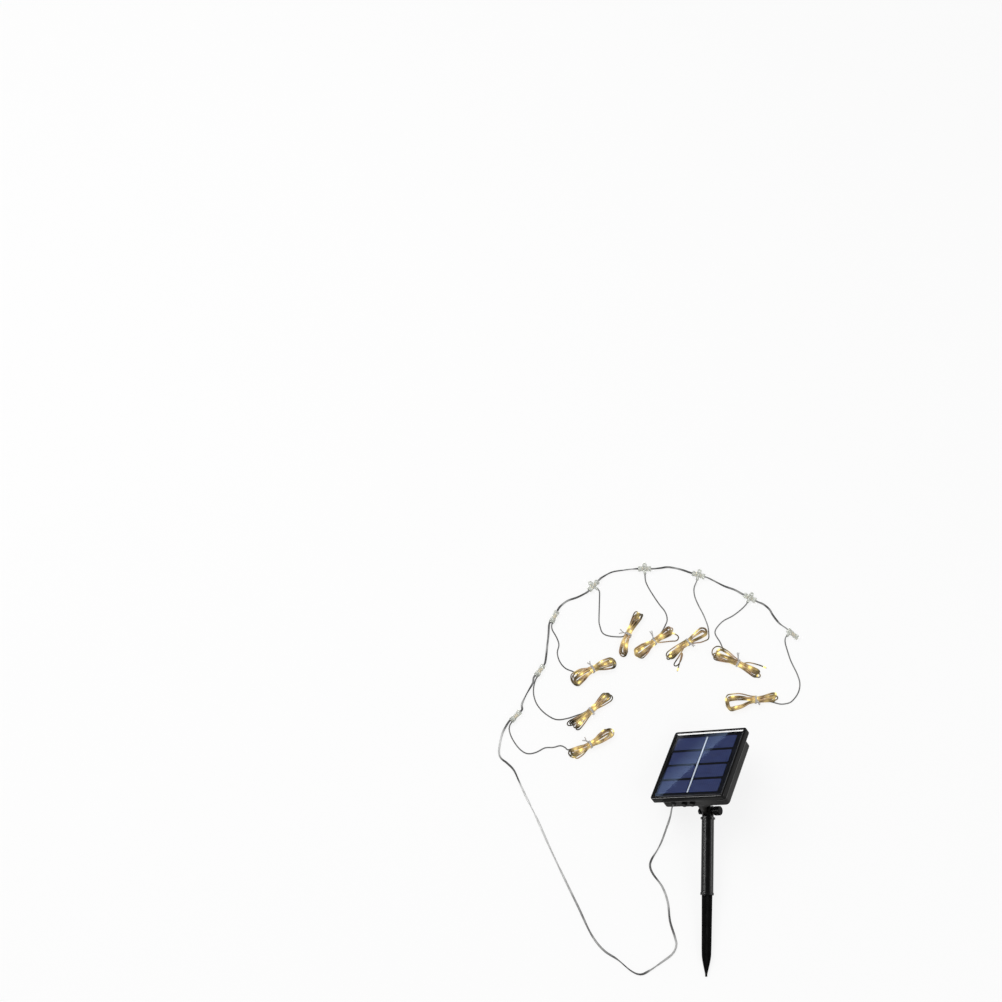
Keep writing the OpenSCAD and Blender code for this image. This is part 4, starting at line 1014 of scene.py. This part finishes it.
# Floor, light and cards
WORLD_LEVEL, FLOOR_WHITE, FLOOR_HALF = 0.5, 0.84, 3
SQUARE = ((-1, -1), (1, -1), (1, 1), (-1, 1))
LIGHT_AIM = Vector((0.0, 0.1, 0.03))


def stage_plane(name, corners, material):
    mesh = bpy.data.meshes.new(name)
    mesh.from_pydata(corners, [], [tuple(range(len(corners)))])
    mesh.materials.append(material)
    obj = add_object(name, mesh)
    return obj


def seen_rays(n):
    """One for rays that look at the background: straight from the camera, mirrored or through glass."""
    path = n.add("LightPath")
    total = path.outputs["Is Camera Ray"]
    for ray in ("Is Glossy Ray", "Is Transmission Ray"):
        total = n.calc("MAXIMUM", total, path.outputs[ray])
    return total


def floor_material():
    """White paper: mostly its own white where it is seen, so that the shadows stay soft."""
    n = Nodes("floor_paper")
    n.set(Roughness=0.9, Specular_IOR_Level=0.0)
    n.vary("Base Color", n.noise(3, 2), 0.93, 0.95)
    white = n.add("Emission", Strength=1.0)
    share = n.calc("MULTIPLY", seen_rays(n), FLOOR_WHITE)
    n.blend_surfaces(share, n.shader.outputs[0], white.outputs[0])
    return n.mat


def glow_card(name, corners, strength, colour=(1, 1, 1), fades=None):
    """A card that only shows as a reflection; fades gives its level at each corner."""
    n = Nodes(name)
    n.tree.nodes.remove(n.shader)
    glow = n.add("Emission", Strength=strength)
    glow.inputs["Color"].default_value = (*colour, 1)
    n.link(glow.outputs[0], n.out.inputs["Surface"])
    obj = stage_plane(name, corners, n.mat)
    if fades:
        layer = obj.data.color_attributes.new("level", "FLOAT_COLOR", "POINT")
        for item, level in zip(layer.data, fades):
            item.color = (*(c * level for c in colour), 1)
        level = n.add("VertexColor", layer_name="level")
        n.link(level.outputs["Color"], glow.inputs["Color"])
    obj.visible_camera = False
    obj.visible_diffuse = False
    obj.visible_shadow = False
    obj.visible_transmission = False


def set_world():
    n = Nodes("studio", world=True)
    n.set(Color=(1, 1, 1, 1), Strength=WORLD_LEVEL)
    seen = n.add("Background", Color=(1, 1, 1, 1), Strength=1.0)
    n.blend_surfaces(seen_rays(n), n.shader.outputs[0], seen.outputs[0])
    bpy.context.scene.world = n.mat


def area_light(name, at, size, power):
    data = bpy.data.lights.new(name, "AREA")
    data.size = size
    data.energy = power
    obj = add_object(name, data)
    obj.location = at
    obj.rotation_euler = (LIGHT_AIM - Vector(at)).to_track_quat("-Z", "Y").to_euler()


set_world()
stage_plane("floor", [(x * FLOOR_HALF, y * FLOOR_HALF, 0) for x, y in SQUARE], floor_material())
# Lights: place, width, power
area_light("key", (-1.3, 0.9, 2.4), 1.8, 34)
area_light("fill", (1.6, -1.2, 2.0), 1.6, 11)

view_from = Vector(CAMERA_AT) * MM
head_at = IN_HEAD @ Vector((0, 0, 0))
tube_at = IN_STAKE @ (Vector((0, -60, 0)) * MM)


def mirror_of(face, at):
    """Way in which a face of the head at a place mirrors the camera; face is its outward direction."""
    out = (IN_HEAD.to_3x3() @ Vector(face)).normalized()
    ray = (at - view_from).normalized()
    return ray - 2 * ray.dot(out) * out


def mirrored(local, reach):
    """The point that is mirrored at a place of the window, at a distance from it."""
    at = IN_HEAD @ (Vector((*local, GLASS_TOP)) * MM)
    return at + mirror_of((0, 0, 1), at) * reach


# The glare's slanting edge, as places on the window, and the dark flag behind it
GLARE = [(33, 55), (-45, -57), (-72, -38), (6, 74)]
GLARE_AWAY, FLAG_AWAY, FLAG_HALF = 0.6, 1.25, 400
glow_card("glare_card", [mirrored(p, GLARE_AWAY) for p in GLARE], 2.6, (0.5, 0.68, 1.0), (1, 1, 0, 0))
glow_card("window_flag", [mirrored((x * FLAG_HALF, y * FLAG_HALF), FLAG_AWAY) for x, y in SQUARE], 0.03)


def side_card(name, toward, reach, wide, tall, strength, about):
    """A glow card that faces a place on the set from a given side."""
    d = Vector(toward).normalized()
    across = d.cross(Vector((0, 0, 1))).normalized()
    rise = across.cross(d)
    centre = about + d * reach
    glow_card(name, [centre + across * (wide / 2) * x + rise * (tall / 2) * y for x, y in SQUARE], strength)


# Cards: way towards each, distance, width, height, level, and the place that mirrors it
side_card("bevel_card", mirror_of((0, -BEVEL_DROP, BEVEL_RUN), head_at), 1.2, 0.28, 0.3, 95, head_at)
side_card("lip_card", (-0.773, 0.603, 0.194), 1.2, 0.26, 0.16, 20, head_at)
side_card("edge_card", (-0.448, 0.842, 0.3), 1.2, 0.24, 0.16, 14, head_at)
side_card("left_card", (-0.8, -0.02, 0.6), 1.3, 0.8, 0.34, 7, tube_at)
side_card("right_card", (0.96, 0.01, 0.28), 1.3, 0.8, 0.3, 6, tube_at)
# Dim upright card beside the stake, which keeps the brighter ones out of its left side
TUBE_FLAG = [(-0.05, -0.13, 0.0), (-0.05, 0.05, 0.0), (-0.05, 0.05, 0.076), (-0.05, -0.13, 0.06)]
glow_card("tube_flag", TUBE_FLAG, 0.4)
side_card("camera_flag", view_from - tube_at, 1.1, 1.9, 1.9, 0.05, tube_at)
